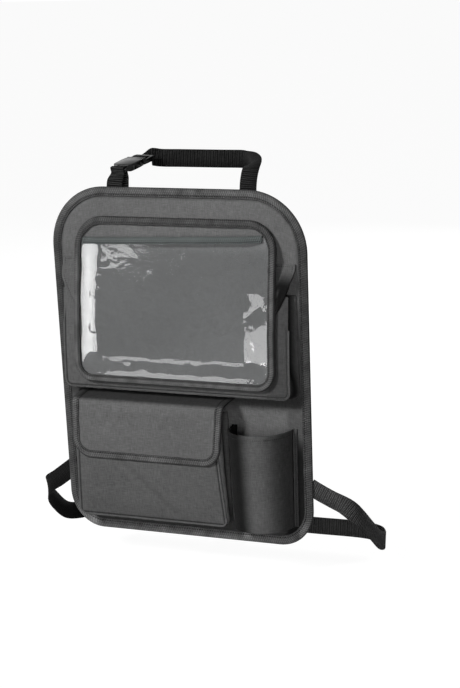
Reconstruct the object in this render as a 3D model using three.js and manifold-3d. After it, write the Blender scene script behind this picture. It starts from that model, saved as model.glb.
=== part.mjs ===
// Organizer that hangs on the back of a car seat: a bound cloth panel with a tablet pocket,
// a wide gusseted pocket behind it, a box pocket with a flap, a bottle pocket, and buckled straps.
// Millimetres, +Z up, -Y towards the passenger behind. The origin is the centre of the panel's rear face.

import * as THREE from 'three';
import { mergeVertices } from 'three/addons/utils/BufferGeometryUtils.js';
import Module from 'manifold-3d';

const wasm = await Module();
wasm.setup();

// Gaps between pieces that touch, and the thickness of the cloth
const SEAM_GAP = 0.3;
const CLOTH = 1.4;
const EDGE_ROOM = 0.5;

// Height over a pocket's bottom, in corner radii, at which its gusset is fully folded
const GUSSET_OPENING = 5;

// Back panel: padded cloth, pressed thin under its binding
const PANEL_HEIGHT = 490;
const PANEL_WIDTH_TOP = 394;
const PANEL_WIDTH_BOTTOM = 380;
const PANEL_THICKNESS = 3;
const PANEL_RIM = 1.2;
const PANEL_CORNER_TOP = 85;
const PANEL_CORNER_BOTTOM = 52;
const PANEL_BINDING_WIDTH = 13;
const PANEL_TOP = PANEL_HEIGHT / 2;
const PANEL_BOTTOM = -PANEL_HEIGHT / 2;
const PANEL_FRONT = -PANEL_THICKNESS;

// Folded tape that binds an edge: the thickness of each leg and of the fold, and its rounding
const BINDING_LEG = 0.9;
const BINDING_FOLD = 1.2;
const BINDING_ROUND = 0.7;
const BINDING_PUFF = 0.6;

// Box pocket at the lower left. The pockets are stacked upwards from the panel's lower edge.
const BOX_MARGIN = 29;
const BOX_HEIGHT = 154;
const BOX_BOTTOM = PANEL_BOTTOM + BOX_MARGIN;
const BOX_MOUTH = BOX_BOTTOM + BOX_HEIGHT;
const BOX_LEFT_MOUTH = -149;
const BOX_LEFT_BOTTOM = -157;
const BOX_RIGHT_MOUTH = 64;
const BOX_RIGHT_BOTTOM = 76;
const BOX_DEPTH_MOUTH = 38.5;
const BOX_DEPTH_BOTTOM = 33;
const BOX_FULLNESS = 2.5;
const BOX_CORNER = 9;
const BOX_SEAT_LEFT = -159;
const BOX_SEAT_RIGHT = 68;
const BOX_SEAT_DROP = 5;
const BOX_GUSSET_PINCH = 4;
const SEAM_FLANGE = 2;

// Flap of the box pocket, with its closing tapes
const FLAP_FOLD_RISE = 15;
const FLAP_SEAM_RISE = 6;
const FLAP_DROP = 69;
const FLAP_FOLD = BOX_MOUTH + FLAP_FOLD_RISE;
const FLAP_SEAM = FLAP_FOLD + FLAP_SEAM_RISE;
const FLAP_BOTTOM = BOX_MOUTH - FLAP_DROP;
const FLAP_LEFT_FOLD = -154;
const FLAP_RIGHT_FOLD = 81;
const FLAP_LEFT_BOTTOM = -157;
const FLAP_RIGHT_BOTTOM = 72;
const FLAP_CORNER = 28;
const FLAP_BINDING_WIDTH = 11;
const FLAP_FOLD_RADIUS = 5;
const TAPE_THICKNESS = 0.9;
const TAPE_LENGTH = 120;
const TAPE_WIDTH = 20;
const TAPE_CENTRE_X = -40;
const TAPE_DROP = 42;

// Bottle pocket at the lower right
const BOTTLE_LEFT = 80;
const BOTTLE_RIGHT = 166;
const BOTTLE_MARGIN = 29;
const BOTTLE_HEIGHT = 137;
const BOTTLE_BOTTOM = PANEL_BOTTOM + BOTTLE_MARGIN;
const BOTTLE_MOUTH = BOTTLE_BOTTOM + BOTTLE_HEIGHT;
const BOTTLE_DEPTH_MOUTH = 57;
const BOTTLE_DEPTH_BOTTOM = 50;
const BOTTLE_TAPER = 3;
const BOTTLE_ROUNDNESS = 0.7;
const BOTTLE_FLANGE = 6;
const BOTTLE_HEM = 7;
const BOTTLE_HEM_THICKNESS = 2.4;
const BOTTLE_BASE_RISE = 2;

// Wide pocket behind the tablet pocket
const WIDE_POCKET_GAP = 7;
const WIDE_POCKET_WIDTH = 346;
const WIDE_POCKET_HEIGHT = 139;
const WIDE_POCKET_BOTTOM = FLAP_SEAM + WIDE_POCKET_GAP;
const WIDE_POCKET_MOUTH = WIDE_POCKET_BOTTOM + WIDE_POCKET_HEIGHT;
const WIDE_POCKET_DEPTH = 25;
const WIDE_POCKET_CORNER = 10;
const WIDE_GUSSET_SPLAY = 5;
const WIDE_SEAT_DROP = 2.5;
const WIDE_GUSSET_FOLD = 8;

// Flap of the wide pocket, which carries the tablet pocket
const WIDE_FLAP_SEAM_RISE = 41;
const WIDE_FLAP_DRAPE = 28;
const WIDE_FLAP_BOTTOM_RISE = 28;
const WIDE_FLAP_WAIST_DROP = 35;
const WIDE_FLAP_SEAM = WIDE_POCKET_MOUTH + WIDE_FLAP_SEAM_RISE;
const WIDE_FLAP_BOTTOM = WIDE_POCKET_BOTTOM + WIDE_FLAP_BOTTOM_RISE;
const WIDE_FLAP_WAIST = WIDE_POCKET_MOUTH - WIDE_FLAP_WAIST_DROP;
const WIDE_FLAP_HALF_TOP = 179;
const WIDE_FLAP_HALF_LOW = 149;

// Tablet pocket: back cloth and clear window in one bound frame
const TABLET_POCKET_WIDTH = 309;
const TABLET_POCKET_HEIGHT = 229;
const TABLET_POCKET_RISE = 10;
const TABLET_POCKET_BOTTOM = WIDE_POCKET_BOTTOM + TABLET_POCKET_RISE;
const TABLET_POCKET_TOP = TABLET_POCKET_BOTTOM + TABLET_POCKET_HEIGHT;
const TABLET_POCKET_SHIFT = 1.5;
const TABLET_CORNER_TOP = 42;
const TABLET_CORNER_BOTTOM = 28;
const TABLET_BINDING_WIDTH = 10;
const WINDOW_THICKNESS = 0.6;
const WINDOW_BULGE = 8;
const WINDOW_EASE = 30;
const WINDOW_DROP = 24;
const WINDOW_TOP = TABLET_POCKET_TOP - WINDOW_DROP;
const WINDOW_TOP_RISE = 10;
const WINDOW_TAPE_HEIGHT = 9;
const WINDOW_TAPE_LEG = 0.7;
const WINDOW_TAPE_EASE = 0.6;

// Webbing and the side release buckles
const WEBBING_WIDTH = 25;
const WEBBING_THICKNESS = 1.4;
const WEBBING_GAP = 0.35;
const WRAP_EASE = 0.1;
const SLOT_LEAN = 0.4;
const SLOT_REACH = 1.6;
const BAR_HALF_CREST = 2;
const TAIL_BEND = 12;
const TAIL_BEND_FALL = 2.5;
const TAIL_LENGTH = 26;
const TAIL_FALL = 7;
const BUCKLE_WIDTH = 34;
const BUCKLE_THICKNESS = 10;
const BUCKLE_EDGE = 1.2;
const BUCKLE_BAR = 3;
const BUCKLE_BAR_HEIGHT = 4.4;
const BUCKLE_SLOT = 5;
const BUCKLE_RAIL = 3.6;
const SOCKET_LENGTH = 36;
const SOCKET_WALL = 1.8;
const SOCKET_SIDE = 3.4;
const SOCKET_SHOULDER = 3;
const SOCKET_CROWN = 0.6;
const SOCKET_TAIL_CUT = 1.5;
const WINDOW_START = 17;
const WINDOW_LENGTH = 11;
const CLIP_FLANGE = 5.1;
const CLIP_FLANGE_THICKNESS = 9;
const CLIP_CLEARANCE = 0.4;
const CLIP_ARM = 3;
const CLIP_TONGUE = 5;
const CLIP_TAPER = 1;
const CLIP_END_CUT = 2;
const BARB_SLOPE = 4;
const BARB_CUT = 0.6;
const LADDER_BAR = 3.5;

// Places of the straps and buckles, from the panel's top and bottom and from the seat
const TOP_STRAP_X = 111;
const SHORT_STRAP_X = -93.5;
const STRAP_OVERLAP = 12;
const POST_STRAP_RISE = 29.5;
const POST_STRAP_Y = 84;
const POST_HALF_SPACING = 64;
const POST_HALF_WIDTH = 10;
const TOP_BUCKLE_X = -93;
const TOP_BUCKLE_Y = 11.5;
const TOP_BUCKLE_RISE = 21.5;
const TOP_BUCKLE_AXIS = new THREE.Vector3(0.236, 0.949, 0.208).normalize();
const LOWER_STRAP_RISE = 85;
const LOWER_STRAP_INSET = 4;
const LOWER_LOOP_Y = 142;
const LOWER_LOOP_DROP = 14.5;
const LOWER_LOOP_HALF_WIDTH = 252;

// Steps on round corners, on straight sides and across sheets
const ARC_STEPS = 6;
const SIDE_STEPS = 4;
const GUSSET_STEPS = 4;
const SHEET_STEPS = 6;
const TALL_STEPS = 8;
const DRAPE_STEPS = 14;
const SLEEVE_STEPS = 20;
const WINDOW_STEPS = 16;
const BAND_STEPS = 3;

const cloth = () => new THREE.MeshStandardMaterial({ color: 0x5b5c5f, roughness: 0.92, metalness: 0 });
const tape = () => new THREE.MeshStandardMaterial({ color: 0x4a4b4e, roughness: 0.85, metalness: 0 });
const webbing = () => new THREE.MeshStandardMaterial({ color: 0x151516, roughness: 0.7, metalness: 0 });
const plastic = () => new THREE.MeshStandardMaterial({ color: 0x0d0d0e, roughness: 0.25, metalness: 0 });
const clearFilm = () => new THREE.MeshStandardMaterial({ color: 0xd8dcde, roughness: 0.08, metalness: 0 });

const { clamp, lerp, smoothstep } = THREE.MathUtils;
const organizer = new THREE.Group();

function add(name, geometry, material, parent = organizer) {
  const mesh = new THREE.Mesh(geometry, material);
  mesh.name = name;
  parent.add(mesh);
  return mesh;
}

// Points and triangles become one closed body whose faces point out.
function body(points, triangles) {
  let volume = 0;
  for (let i = 0; i < triangles.length; i += 3) {
    const [a, b, c] = triangles.slice(i, i + 3).map((k) => points[k]);
    volume += a.dot(new THREE.Vector3().crossVectors(b, c));
  }
  if (volume < 0) triangles.reverse();
  const geometry = new THREE.BufferGeometry();
  const numbers = points.flatMap((p) => [p.x, p.y, p.z]);
  geometry.setAttribute('position', new THREE.Float32BufferAttribute(numbers, 3));
  geometry.setIndex(triangles);
  geometry.computeVertexNormals();
  return geometry;
}

// A sheet from a grid of points on its middle surface. Its thickness may change from row to row.
function sheet(grid, thickness = CLOTH) {
  const rows = grid.length;
  const columns = grid[0].length;
  const at = (r, c) => grid[clamp(r, 0, rows - 1)][clamp(c, 0, columns - 1)];
  const points = [];
  for (const side of [1, -1]) {
    for (let r = 0; r < rows; r++) {
      for (let c = 0; c < columns; c++) {
        const across = at(r, c + 1).clone().sub(at(r, c - 1));
        const along = at(r + 1, c).clone().sub(at(r - 1, c));
        const half = (typeof thickness === 'function' ? thickness(r) : thickness) / 2;
        const normal = across.cross(along).normalize();
        points.push(at(r, c).clone().addScaledVector(normal, side * half));
      }
    }
  }
  const index = (side, r, c) => side * rows * columns + r * columns + c;
  const triangles = [];
  const quad = (a, b, c, d) => triangles.push(a, b, c, a, c, d);
  const lastRow = rows - 1;
  const lastColumn = columns - 1;
  for (let r = 0; r < lastRow; r++) {
    const s = r + 1;
    for (let c = 0; c < lastColumn; c++) {
      quad(index(0, r, c), index(0, r, c + 1), index(0, s, c + 1), index(0, s, c));
      quad(index(1, r, c), index(1, s, c), index(1, s, c + 1), index(1, r, c + 1));
    }
    quad(index(0, r, 0), index(0, s, 0), index(1, s, 0), index(1, r, 0));
    quad(index(0, r, lastColumn), index(1, r, lastColumn), index(1, s, lastColumn), index(0, s, lastColumn));
  }
  for (let c = 0; c < lastColumn; c++) {
    quad(index(0, 0, c), index(1, 0, c), index(1, 0, c + 1), index(0, 0, c + 1));
    quad(index(0, lastRow, c), index(0, lastRow, c + 1), index(1, lastRow, c + 1), index(1, lastRow, c));
  }
  return body(points, triangles);
}

// Triangles of a flat loop, whatever plane it lies in
function capTriangles(loop) {
  const normal = new THREE.Vector3();
  loop.forEach((p, i) => normal.add(new THREE.Vector3().crossVectors(p, loop[(i + 1) % loop.length])));
  normal.normalize();
  const right = new THREE.Vector3().subVectors(loop[1], loop[0]).projectOnPlane(normal).normalize();
  const up = new THREE.Vector3().crossVectors(normal, right);
  const flat = loop.map((p) => new THREE.Vector2(p.dot(right), p.dot(up)));
  return THREE.ShapeUtils.triangulateShape(flat, []);
}

// Closed loops of points joined one after another, capped at both ends or closed into a ring
function loft(loops, ring = false) {
  const count = loops[0].length;
  const triangles = [];
  const steps = ring ? loops.length : loops.length - 1;
  for (let i = 0; i < steps; i++) {
    const next = (i + 1) % loops.length;
    for (let k = 0; k < count; k++) {
      const other = (k + 1) % count;
      const a = i * count + k;
      const b = i * count + other;
      const c = next * count + other;
      const d = next * count + k;
      triangles.push(a, b, c, a, c, d);
    }
  }
  if (!ring) {
    const last = loops.length - 1;
    for (const [a, b, c] of capTriangles(loops[0])) triangles.push(c, b, a);
    for (const face of capTriangles(loops[last])) triangles.push(...face.map((k) => last * count + k));
  }
  return body(loops.flat(), triangles);
}

const steps = (count) => Array.from({ length: count + 1 }, (_, i) => i / count);

// Outline of a rectangle with round corners, anticlockwise from the lower left, moved in by an inset
function roundedOutline(frame, inset) {
  const points = [];
  const corners = [
    [frame.left, frame.bottom, frame.cornerBottom, 180, 1, 1],
    [frame.right, frame.bottom, frame.cornerBottom, 270, -1, 1],
    [frame.right, frame.top, frame.cornerTop, 0, -1, -1],
    [frame.left, frame.top, frame.cornerTop, 90, 1, -1],
  ];
  for (const [x, z, corner, start, inX, inZ] of corners) {
    const radius = corner - inset;
    for (const t of steps(ARC_STEPS)) {
      const angle = THREE.MathUtils.degToRad(start + 90 * t);
      points.push([x + inX * corner + radius * Math.cos(angle), z + inZ * corner + radius * Math.sin(angle)]);
    }
  }
  return points.flatMap((p, i) => {
    const q = points[(i + 1) % points.length];
    const straight = i % (ARC_STEPS + 1) === ARC_STEPS;
    const cuts = straight ? steps(SIDE_STEPS * 2).slice(0, -1) : [0];
    return cuts.map((t) => [lerp(p[0], q[0], t), lerp(p[1], q[1], t)]);
  });
}

// Heights of the rows of a sheet inside such an outline, close together at the corners
function rowHeights(frame, inset, sideRows) {
  const low = frame.bottom + frame.cornerBottom;
  const high = frame.top - frame.cornerTop;
  const bottomRadius = frame.cornerBottom - inset;
  const topRadius = frame.cornerTop - inset;
  const quarter = (t) => (Math.PI / 2) * t;
  return [
    ...steps(ARC_STEPS).map((t) => low - bottomRadius * Math.cos(quarter(t))),
    ...steps(sideRows).slice(1, -1).map((t) => lerp(low, high, t)),
    ...steps(ARC_STEPS).map((t) => high + topRadius * Math.sin(quarter(t))),
  ];
}

// Left and right ends of a row at one height
function rowSpan(frame, inset, z) {
  const into = Math.max(frame.bottom + frame.cornerBottom - z, 0);
  const over = Math.max(z - (frame.top - frame.cornerTop), 0);
  const corner = into > 0 ? frame.cornerBottom : frame.cornerTop;
  const radius = corner - inset;
  const rise = Math.max(into, over);
  const cut = rise > 0 ? corner - Math.sqrt(Math.max(radius * radius - rise * rise, 0)) : inset;
  return [frame.left + cut, frame.right - cut];
}

// A sheet that fills an outline and follows a surface
function outlineSheet(frame, inset, sideRows, columns, surface, thickness) {
  const grid = rowHeights(frame, inset, sideRows).map((z) => {
    const [left, right] = rowSpan(frame, inset, z);
    return steps(columns).map((t) => surface(lerp(left, right, t), z));
  });
  return sheet(grid, thickness);
}

// The section of a folded binding as pairs of inset and depth, from the rear leg round the fold to the front
function bindingSection(width, rear, front) {
  const r = BINDING_ROUND;
  return [
    [width, rear], [r, rear], [0, rear + r], [0, front - r], [r, front], [width, front],
    [width, front - BINDING_LEG], [BINDING_FOLD, front - BINDING_LEG],
    [BINDING_FOLD, rear + BINDING_LEG], [width, rear + BINDING_LEG],
  ];
}

// A path down the left side, along the bottom and up the right side, with round lower corners
function pocketPath({ left, right, bottom, corner }, stops, inset = 0) {
  const radius = corner - inset;
  const level = bottom + corner;
  const points = stops.map((z) => [left(z) + inset, z]);
  const arc = (x, side, start) => steps(ARC_STEPS).forEach((t) => {
    const angle = THREE.MathUtils.degToRad(start + 90 * t);
    points.push([x + side * corner + radius * Math.cos(angle), level + radius * Math.sin(angle)]);
  });
  arc(left(level), 1, 180);
  const from = left(level) + corner;
  const to = right(level) - corner;
  steps(SIDE_STEPS * 2).slice(1, -1).forEach((t) => points.push([lerp(from, to, t), bottom + inset]));
  arc(right(level), -1, 270);
  [...stops].reverse().forEach((z) => points.push([right(z) - inset, z]));
  return points;
}

// Heights of the stops down the straight side of a pocket, from its mouth to its lower corner
function sideStops(mouth, { bottom, corner }) {
  return steps(SIDE_STEPS).slice(0, -1).map((t) => lerp(mouth, bottom + corner, t));
}

// Webbing along a smooth curve. Each stop gives the middle of the band and the way its width points.
function band(stops) {
  const middle = new THREE.CatmullRomCurve3(stops.map(([p]) => p), false, 'centripetal');
  const turn = new THREE.CatmullRomCurve3(stops.map(([, w]) => w), false, 'catmullrom');
  const grid = steps((stops.length - 1) * BAND_STEPS).map((t) => {
    const centre = middle.getPoint(t);
    const along = middle.getTangent(t);
    const width = turn.getPoint(t).projectOnVector(along).negate().add(turn.getPoint(t)).normalize();
    return [-1, 1].map((side) => centre.clone().addScaledVector(width, (side * WEBBING_WIDTH) / 2));
  });
  return sheet(grid, WEBBING_THICKNESS);
}

// Back panel, from the middle of its rear face out round the pressed rim to the front
const panelFrame = {
  left: -(PANEL_WIDTH_TOP + PANEL_WIDTH_BOTTOM) / 4,
  right: (PANEL_WIDTH_TOP + PANEL_WIDTH_BOTTOM) / 4,
  bottom: PANEL_BOTTOM,
  top: PANEL_TOP,
  cornerBottom: PANEL_CORNER_BOTTOM,
  cornerTop: PANEL_CORNER_TOP,
};

function panelLoop(inset, y) {
  const mean = (PANEL_WIDTH_TOP + PANEL_WIDTH_BOTTOM) / 2;
  return roundedOutline(panelFrame, inset).map(([x, z]) => {
    const width = lerp(PANEL_WIDTH_BOTTOM, PANEL_WIDTH_TOP, (z - PANEL_BOTTOM) / PANEL_HEIGHT);
    return new THREE.Vector3((x * width) / mean, y, z);
  });
}

function backPanel() {
  const shoulder = PANEL_BINDING_WIDTH + SEAM_GAP;
  const rimEdge = BINDING_FOLD + SEAM_GAP;
  const rimRear = (PANEL_FRONT + PANEL_RIM) / 2;
  const rimFront = rimRear - PANEL_RIM;
  return loft([
    panelLoop(shoulder, 0),
    panelLoop(shoulder, rimRear),
    panelLoop(rimEdge, rimRear),
    panelLoop(rimEdge, rimFront),
    panelLoop(shoulder, rimFront),
    panelLoop(shoulder, PANEL_FRONT),
  ]);
}

function panelBinding() {
  const section = bindingSection(PANEL_BINDING_WIDTH, 0, PANEL_THICKNESS);
  section[4][1] += BINDING_PUFF;
  section[5][1] += BINDING_PUFF / 2;
  return loft(section.map(([inset, depth]) => panelLoop(inset, -depth)), true);
}

add('back_panel', backPanel(), cloth());
add('panel_binding', panelBinding(), tape());

// Wide pocket: its front stands off the panel and leans out towards its bottom
function widePocketFront(z) {
  const fall = clamp((TABLET_POCKET_TOP - z) / (TABLET_POCKET_TOP - WIDE_POCKET_BOTTOM), 0, 1);
  return PANEL_FRONT - WIDE_POCKET_DEPTH * Math.sin((Math.PI / 2) * fall);
}

const widePocketFrame = {
  left: -WIDE_POCKET_WIDTH / 2,
  right: WIDE_POCKET_WIDTH / 2,
  bottom: WIDE_POCKET_BOTTOM,
  top: WIDE_POCKET_MOUTH,
  cornerBottom: WIDE_POCKET_CORNER,
  cornerTop: SEAM_FLANGE,
};

function widePocketPanel() {
  const surface = (x, z) => new THREE.Vector3(x, widePocketFront(z) + CLOTH / 2, z);
  return outlineSheet(widePocketFrame, 0, SHEET_STEPS, SIDE_STEPS, surface, CLOTH);
}

// The gusset is a strip with a bellows fold at each side, which flattens out towards the lower corners.
function widePocketGusset() {
  const half = WIDE_POCKET_WIDTH / 2;
  const seat = (side) => () => side * (half + WIDE_GUSSET_SPLAY);
  const edge = (side) => () => side * (half - SEAM_FLANGE);
  const corner = WIDE_POCKET_CORNER;
  const seatBottom = WIDE_POCKET_BOTTOM - WIDE_SEAT_DROP;
  const edgeBottom = WIDE_POCKET_BOTTOM + SEAM_FLANGE;
  const backShape = { left: seat(-1), right: seat(1), bottom: seatBottom, corner };
  const frontShape = { left: edge(-1), right: edge(1), bottom: edgeBottom, corner };
  const back = pocketPath(backShape, sideStops(WIDE_POCKET_MOUTH, backShape));
  const front = pocketPath(frontShape, sideStops(WIDE_POCKET_MOUTH, frontShape));
  const grid = back.map((p, i) => {
    const q = front[i];
    const open = smoothstep(p[1], seatBottom + corner, seatBottom + GUSSET_OPENING * corner);
    return steps(GUSSET_STEPS).map((t) => {
      const x = lerp(p[0], q[0], t);
      const z = lerp(p[1], q[1], t);
      const fold = WIDE_GUSSET_FOLD * open * (1 - Math.abs(2 * t - 1));
      const rear = PANEL_FRONT - SEAM_GAP - EDGE_ROOM;
      const far = widePocketFront(q[1]) + CLOTH + SEAM_GAP + EDGE_ROOM;
      return new THREE.Vector3(x - Math.sign(x) * fold, lerp(rear, far, t), z);
    });
  });
  return sheet(grid);
}

// The flap hangs from its seam on the panel, falls clear of the pocket's mouth and lies on its front.
function wideFlapSurface(x, z) {
  const lying = widePocketFront(z) - SEAM_GAP - CLOTH / 2;
  const seam = PANEL_FRONT - SEAM_GAP - CLOTH / 2;
  const share = smoothstep(z, WIDE_FLAP_SEAM - WIDE_FLAP_DRAPE, WIDE_FLAP_SEAM);
  return new THREE.Vector3(x, lerp(lying, seam, share), z);
}

function widePocketFlap() {
  const grid = steps(DRAPE_STEPS).map((t) => {
    const z = lerp(WIDE_FLAP_BOTTOM, WIDE_FLAP_SEAM, t);
    const flare = clamp((z - WIDE_FLAP_WAIST) / (WIDE_FLAP_SEAM - WIDE_FLAP_WAIST), 0, 1);
    const half = lerp(WIDE_FLAP_HALF_LOW, WIDE_FLAP_HALF_TOP, Math.sin((Math.PI / 2) * flare));
    return steps(SHEET_STEPS).map((u) => wideFlapSurface(lerp(-half, half, u), z));
  });
  return sheet(grid);
}

add('wide_pocket_front', widePocketPanel(), cloth());
add('wide_pocket_gusset', widePocketGusset(), cloth());
add('wide_pocket_flap', widePocketFlap(), cloth());

// Tablet pocket, on the flap. Depth is measured outwards from the rear of its binding.
const tabletFrame = {
  left: TABLET_POCKET_SHIFT - TABLET_POCKET_WIDTH / 2,
  right: TABLET_POCKET_SHIFT + TABLET_POCKET_WIDTH / 2,
  bottom: TABLET_POCKET_BOTTOM,
  top: TABLET_POCKET_TOP,
  cornerBottom: TABLET_CORNER_BOTTOM,
  cornerTop: TABLET_CORNER_TOP,
};
const TABLET_CLOTH_REAR = BINDING_LEG + SEAM_GAP;
const TABLET_FILM_REAR = TABLET_CLOTH_REAR + CLOTH + SEAM_GAP + WINDOW_TAPE_LEG + WINDOW_TAPE_EASE;
const TABLET_BINDING_FRONT = TABLET_FILM_REAR + WINDOW_THICKNESS + SEAM_GAP + BINDING_LEG;

function tabletPoint(x, z, depth) {
  return new THREE.Vector3(x, widePocketFront(z) - 2 * SEAM_GAP - CLOTH - depth, z);
}

function tabletPocketBack() {
  const surface = (x, z) => tabletPoint(x, z, TABLET_CLOTH_REAR + CLOTH / 2);
  return outlineSheet(tabletFrame, BINDING_FOLD + SEAM_GAP, TALL_STEPS, TALL_STEPS, surface, CLOTH);
}

function tabletPocketBinding() {
  const section = bindingSection(TABLET_BINDING_WIDTH, 0, TABLET_BINDING_FRONT);
  section[4][1] += BINDING_PUFF;
  section[5][1] += BINDING_PUFF / 2;
  const loops = section.map(([inset, depth]) => (
    roundedOutline(tabletFrame, inset).map(([x, z]) => tabletPoint(x, z, depth))
  ));
  return loft(loops, true);
}

// The window lies flat under the binding and swells where it holds a tablet.
function windowSwell(x, z) {
  const start = TABLET_BINDING_WIDTH + BINDING_FOLD;
  const ease = (gap) => smoothstep(gap, start, start + WINDOW_EASE);
  const level = Math.min(z + WINDOW_TAPE_HEIGHT, windowEdge(x));
  const [left, right] = rowSpan(tabletFrame, 0, level);
  return WINDOW_BULGE * ease(x - left) * ease(right - x) * ease(z - tabletFrame.bottom);
}

// Height of the window's upper edge, which rises to the right
function windowEdge(x) {
  return WINDOW_TOP + (WINDOW_TOP_RISE * (x - TABLET_POCKET_SHIFT)) / TABLET_POCKET_WIDTH;
}

// Places across the window: its two hidden edges, and even steps between the inner edges of the frame
function windowColumns(z) {
  const [left, right] = rowSpan(tabletFrame, BINDING_FOLD + SEAM_GAP, z);
  return [left, ...frameSteps(z, z), right];
}

function frameSteps(leftZ, rightZ) {
  const inner = TABLET_BINDING_WIDTH + SEAM_GAP;
  const [left] = rowSpan(tabletFrame, inner, leftZ);
  const [, right] = rowSpan(tabletFrame, inner, rightZ);
  return steps(WINDOW_STEPS).map((t) => lerp(left, right, t));
}

// The free edge meets the frame at these heights.
const windowEdgeLeft = windowEdge(tabletFrame.left + TABLET_BINDING_WIDTH);
const windowEdgeRight = windowEdge(tabletFrame.right - TABLET_BINDING_WIDTH);

function tabletWindow() {
  const inset = BINDING_FOLD + SEAM_GAP;
  const highest = windowEdgeLeft - 2 * WINDOW_TAPE_HEIGHT;
  const heights = rowHeights(tabletFrame, inset, SHEET_STEPS).filter((z) => z < highest);
  const point = (x, z) => tabletPoint(x, z, TABLET_FILM_REAR + WINDOW_THICKNESS / 2 + windowSwell(x, z));
  const grid = heights.map((z) => windowColumns(z).map((x) => point(x, z)));
  const [left] = rowSpan(tabletFrame, inset, windowEdgeLeft);
  const [, right] = rowSpan(tabletFrame, inset, windowEdgeRight);
  const columns = [left, ...frameSteps(windowEdgeLeft, windowEdgeRight), right];
  for (const drop of [WINDOW_TAPE_HEIGHT, WINDOW_TAPE_LEG + SEAM_GAP]) {
    grid.push(columns.map((x) => point(x, windowEdge(x) - drop)));
  }
  return sheet(grid, WINDOW_THICKNESS);
}

// A tape folded over the window's free upper edge, between the two sides of the frame
function windowTape() {
  const rear = TABLET_FILM_REAR - WINDOW_TAPE_EASE;
  const front = TABLET_FILM_REAR + WINDOW_THICKNESS + WINDOW_TAPE_EASE;
  const section = [
    [WINDOW_TAPE_HEIGHT, rear], [WINDOW_TAPE_HEIGHT, rear - WINDOW_TAPE_LEG], [0, rear - WINDOW_TAPE_LEG],
    [0, front + WINDOW_TAPE_LEG], [WINDOW_TAPE_HEIGHT, front + WINDOW_TAPE_LEG], [WINDOW_TAPE_HEIGHT, front],
    [WINDOW_TAPE_LEG, front], [WINDOW_TAPE_LEG, rear],
  ];
  return loft(frameSteps(windowEdgeLeft, windowEdgeRight).map((x) => section.map(([drop, depth]) => {
    const z = windowEdge(x) - drop;
    return tabletPoint(x, z, depth + windowSwell(x, z));
  })));
}

add('tablet_pocket_back', tabletPocketBack(), cloth());
add('tablet_window', tabletWindow(), clearFilm());
add('window_top_tape', windowTape(), tape());
add('tablet_pocket_binding', tabletPocketBinding(), tape());

// Box pocket: a full front on a gusset, wider at its bottom than at its mouth
const boxShare = (z) => (BOX_MOUTH - z) / (BOX_MOUTH - BOX_BOTTOM);
const boxLeft = (z) => lerp(BOX_LEFT_MOUTH, BOX_LEFT_BOTTOM, boxShare(z));
const boxRight = (z) => lerp(BOX_RIGHT_MOUTH, BOX_RIGHT_BOTTOM, boxShare(z));

// Depth of the front of the box pocket
function boxFront(z) {
  const share = clamp(boxShare(z), 0, 1);
  const depth = lerp(BOX_DEPTH_MOUTH, BOX_DEPTH_BOTTOM, share) + BOX_FULLNESS * Math.sin(Math.PI * share);
  return PANEL_FRONT - depth;
}

function boxPocketFront() {
  const low = BOX_BOTTOM + BOX_CORNER;
  const rows = [
    ...steps(ARC_STEPS).map((t) => low - BOX_CORNER * Math.cos((Math.PI / 2) * t)),
    ...steps(TALL_STEPS).slice(1).map((t) => lerp(low, BOX_MOUTH, t)),
  ];
  const grid = rows.map((z) => {
    const rise = Math.max(low - z, 0);
    const cut = BOX_CORNER - Math.sqrt(Math.max(BOX_CORNER * BOX_CORNER - rise * rise, 0));
    const place = (t) => lerp(boxLeft(z) + cut, boxRight(z) - cut, t);
    return steps(SHEET_STEPS).map((t) => new THREE.Vector3(place(t), boxFront(z) + CLOTH / 2, z));
  });
  return sheet(grid);
}

function boxPocketGusset() {
  const seatBottom = BOX_BOTTOM - BOX_SEAT_DROP;
  const edgeBottom = BOX_BOTTOM + SEAM_FLANGE;
  const seat = {
    left: () => BOX_SEAT_LEFT,
    right: () => BOX_SEAT_RIGHT,
    bottom: seatBottom,
    corner: BOX_CORNER,
  };
  const edge = {
    left: (z) => boxLeft(z) + SEAM_FLANGE,
    right: (z) => boxRight(z) - SEAM_FLANGE,
    bottom: edgeBottom,
    corner: BOX_CORNER,
  };
  const back = pocketPath(seat, sideStops(BOX_MOUTH, seat));
  const front = pocketPath(edge, sideStops(BOX_MOUTH, edge));
  const middle = (BOX_SEAT_LEFT + BOX_SEAT_RIGHT) / 2;
  const grid = back.map((p, i) => {
    const q = front[i];
    const open = smoothstep(p[1], seatBottom + BOX_CORNER, seatBottom + GUSSET_OPENING * BOX_CORNER);
    return steps(GUSSET_STEPS).map((t) => {
      const x = lerp(p[0], q[0], t);
      const pinch = BOX_GUSSET_PINCH * open * Math.sin(Math.PI * t);
      const rear = PANEL_FRONT - SEAM_GAP - EDGE_ROOM / 2;
      const far = boxFront(q[1]) + CLOTH + SEAM_GAP + EDGE_ROOM / 2;
      return new THREE.Vector3(x - Math.sign(x - middle) * pinch, lerp(rear, far, t), lerp(p[1], q[1], t));
    });
  });
  return sheet(grid);
}

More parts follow.
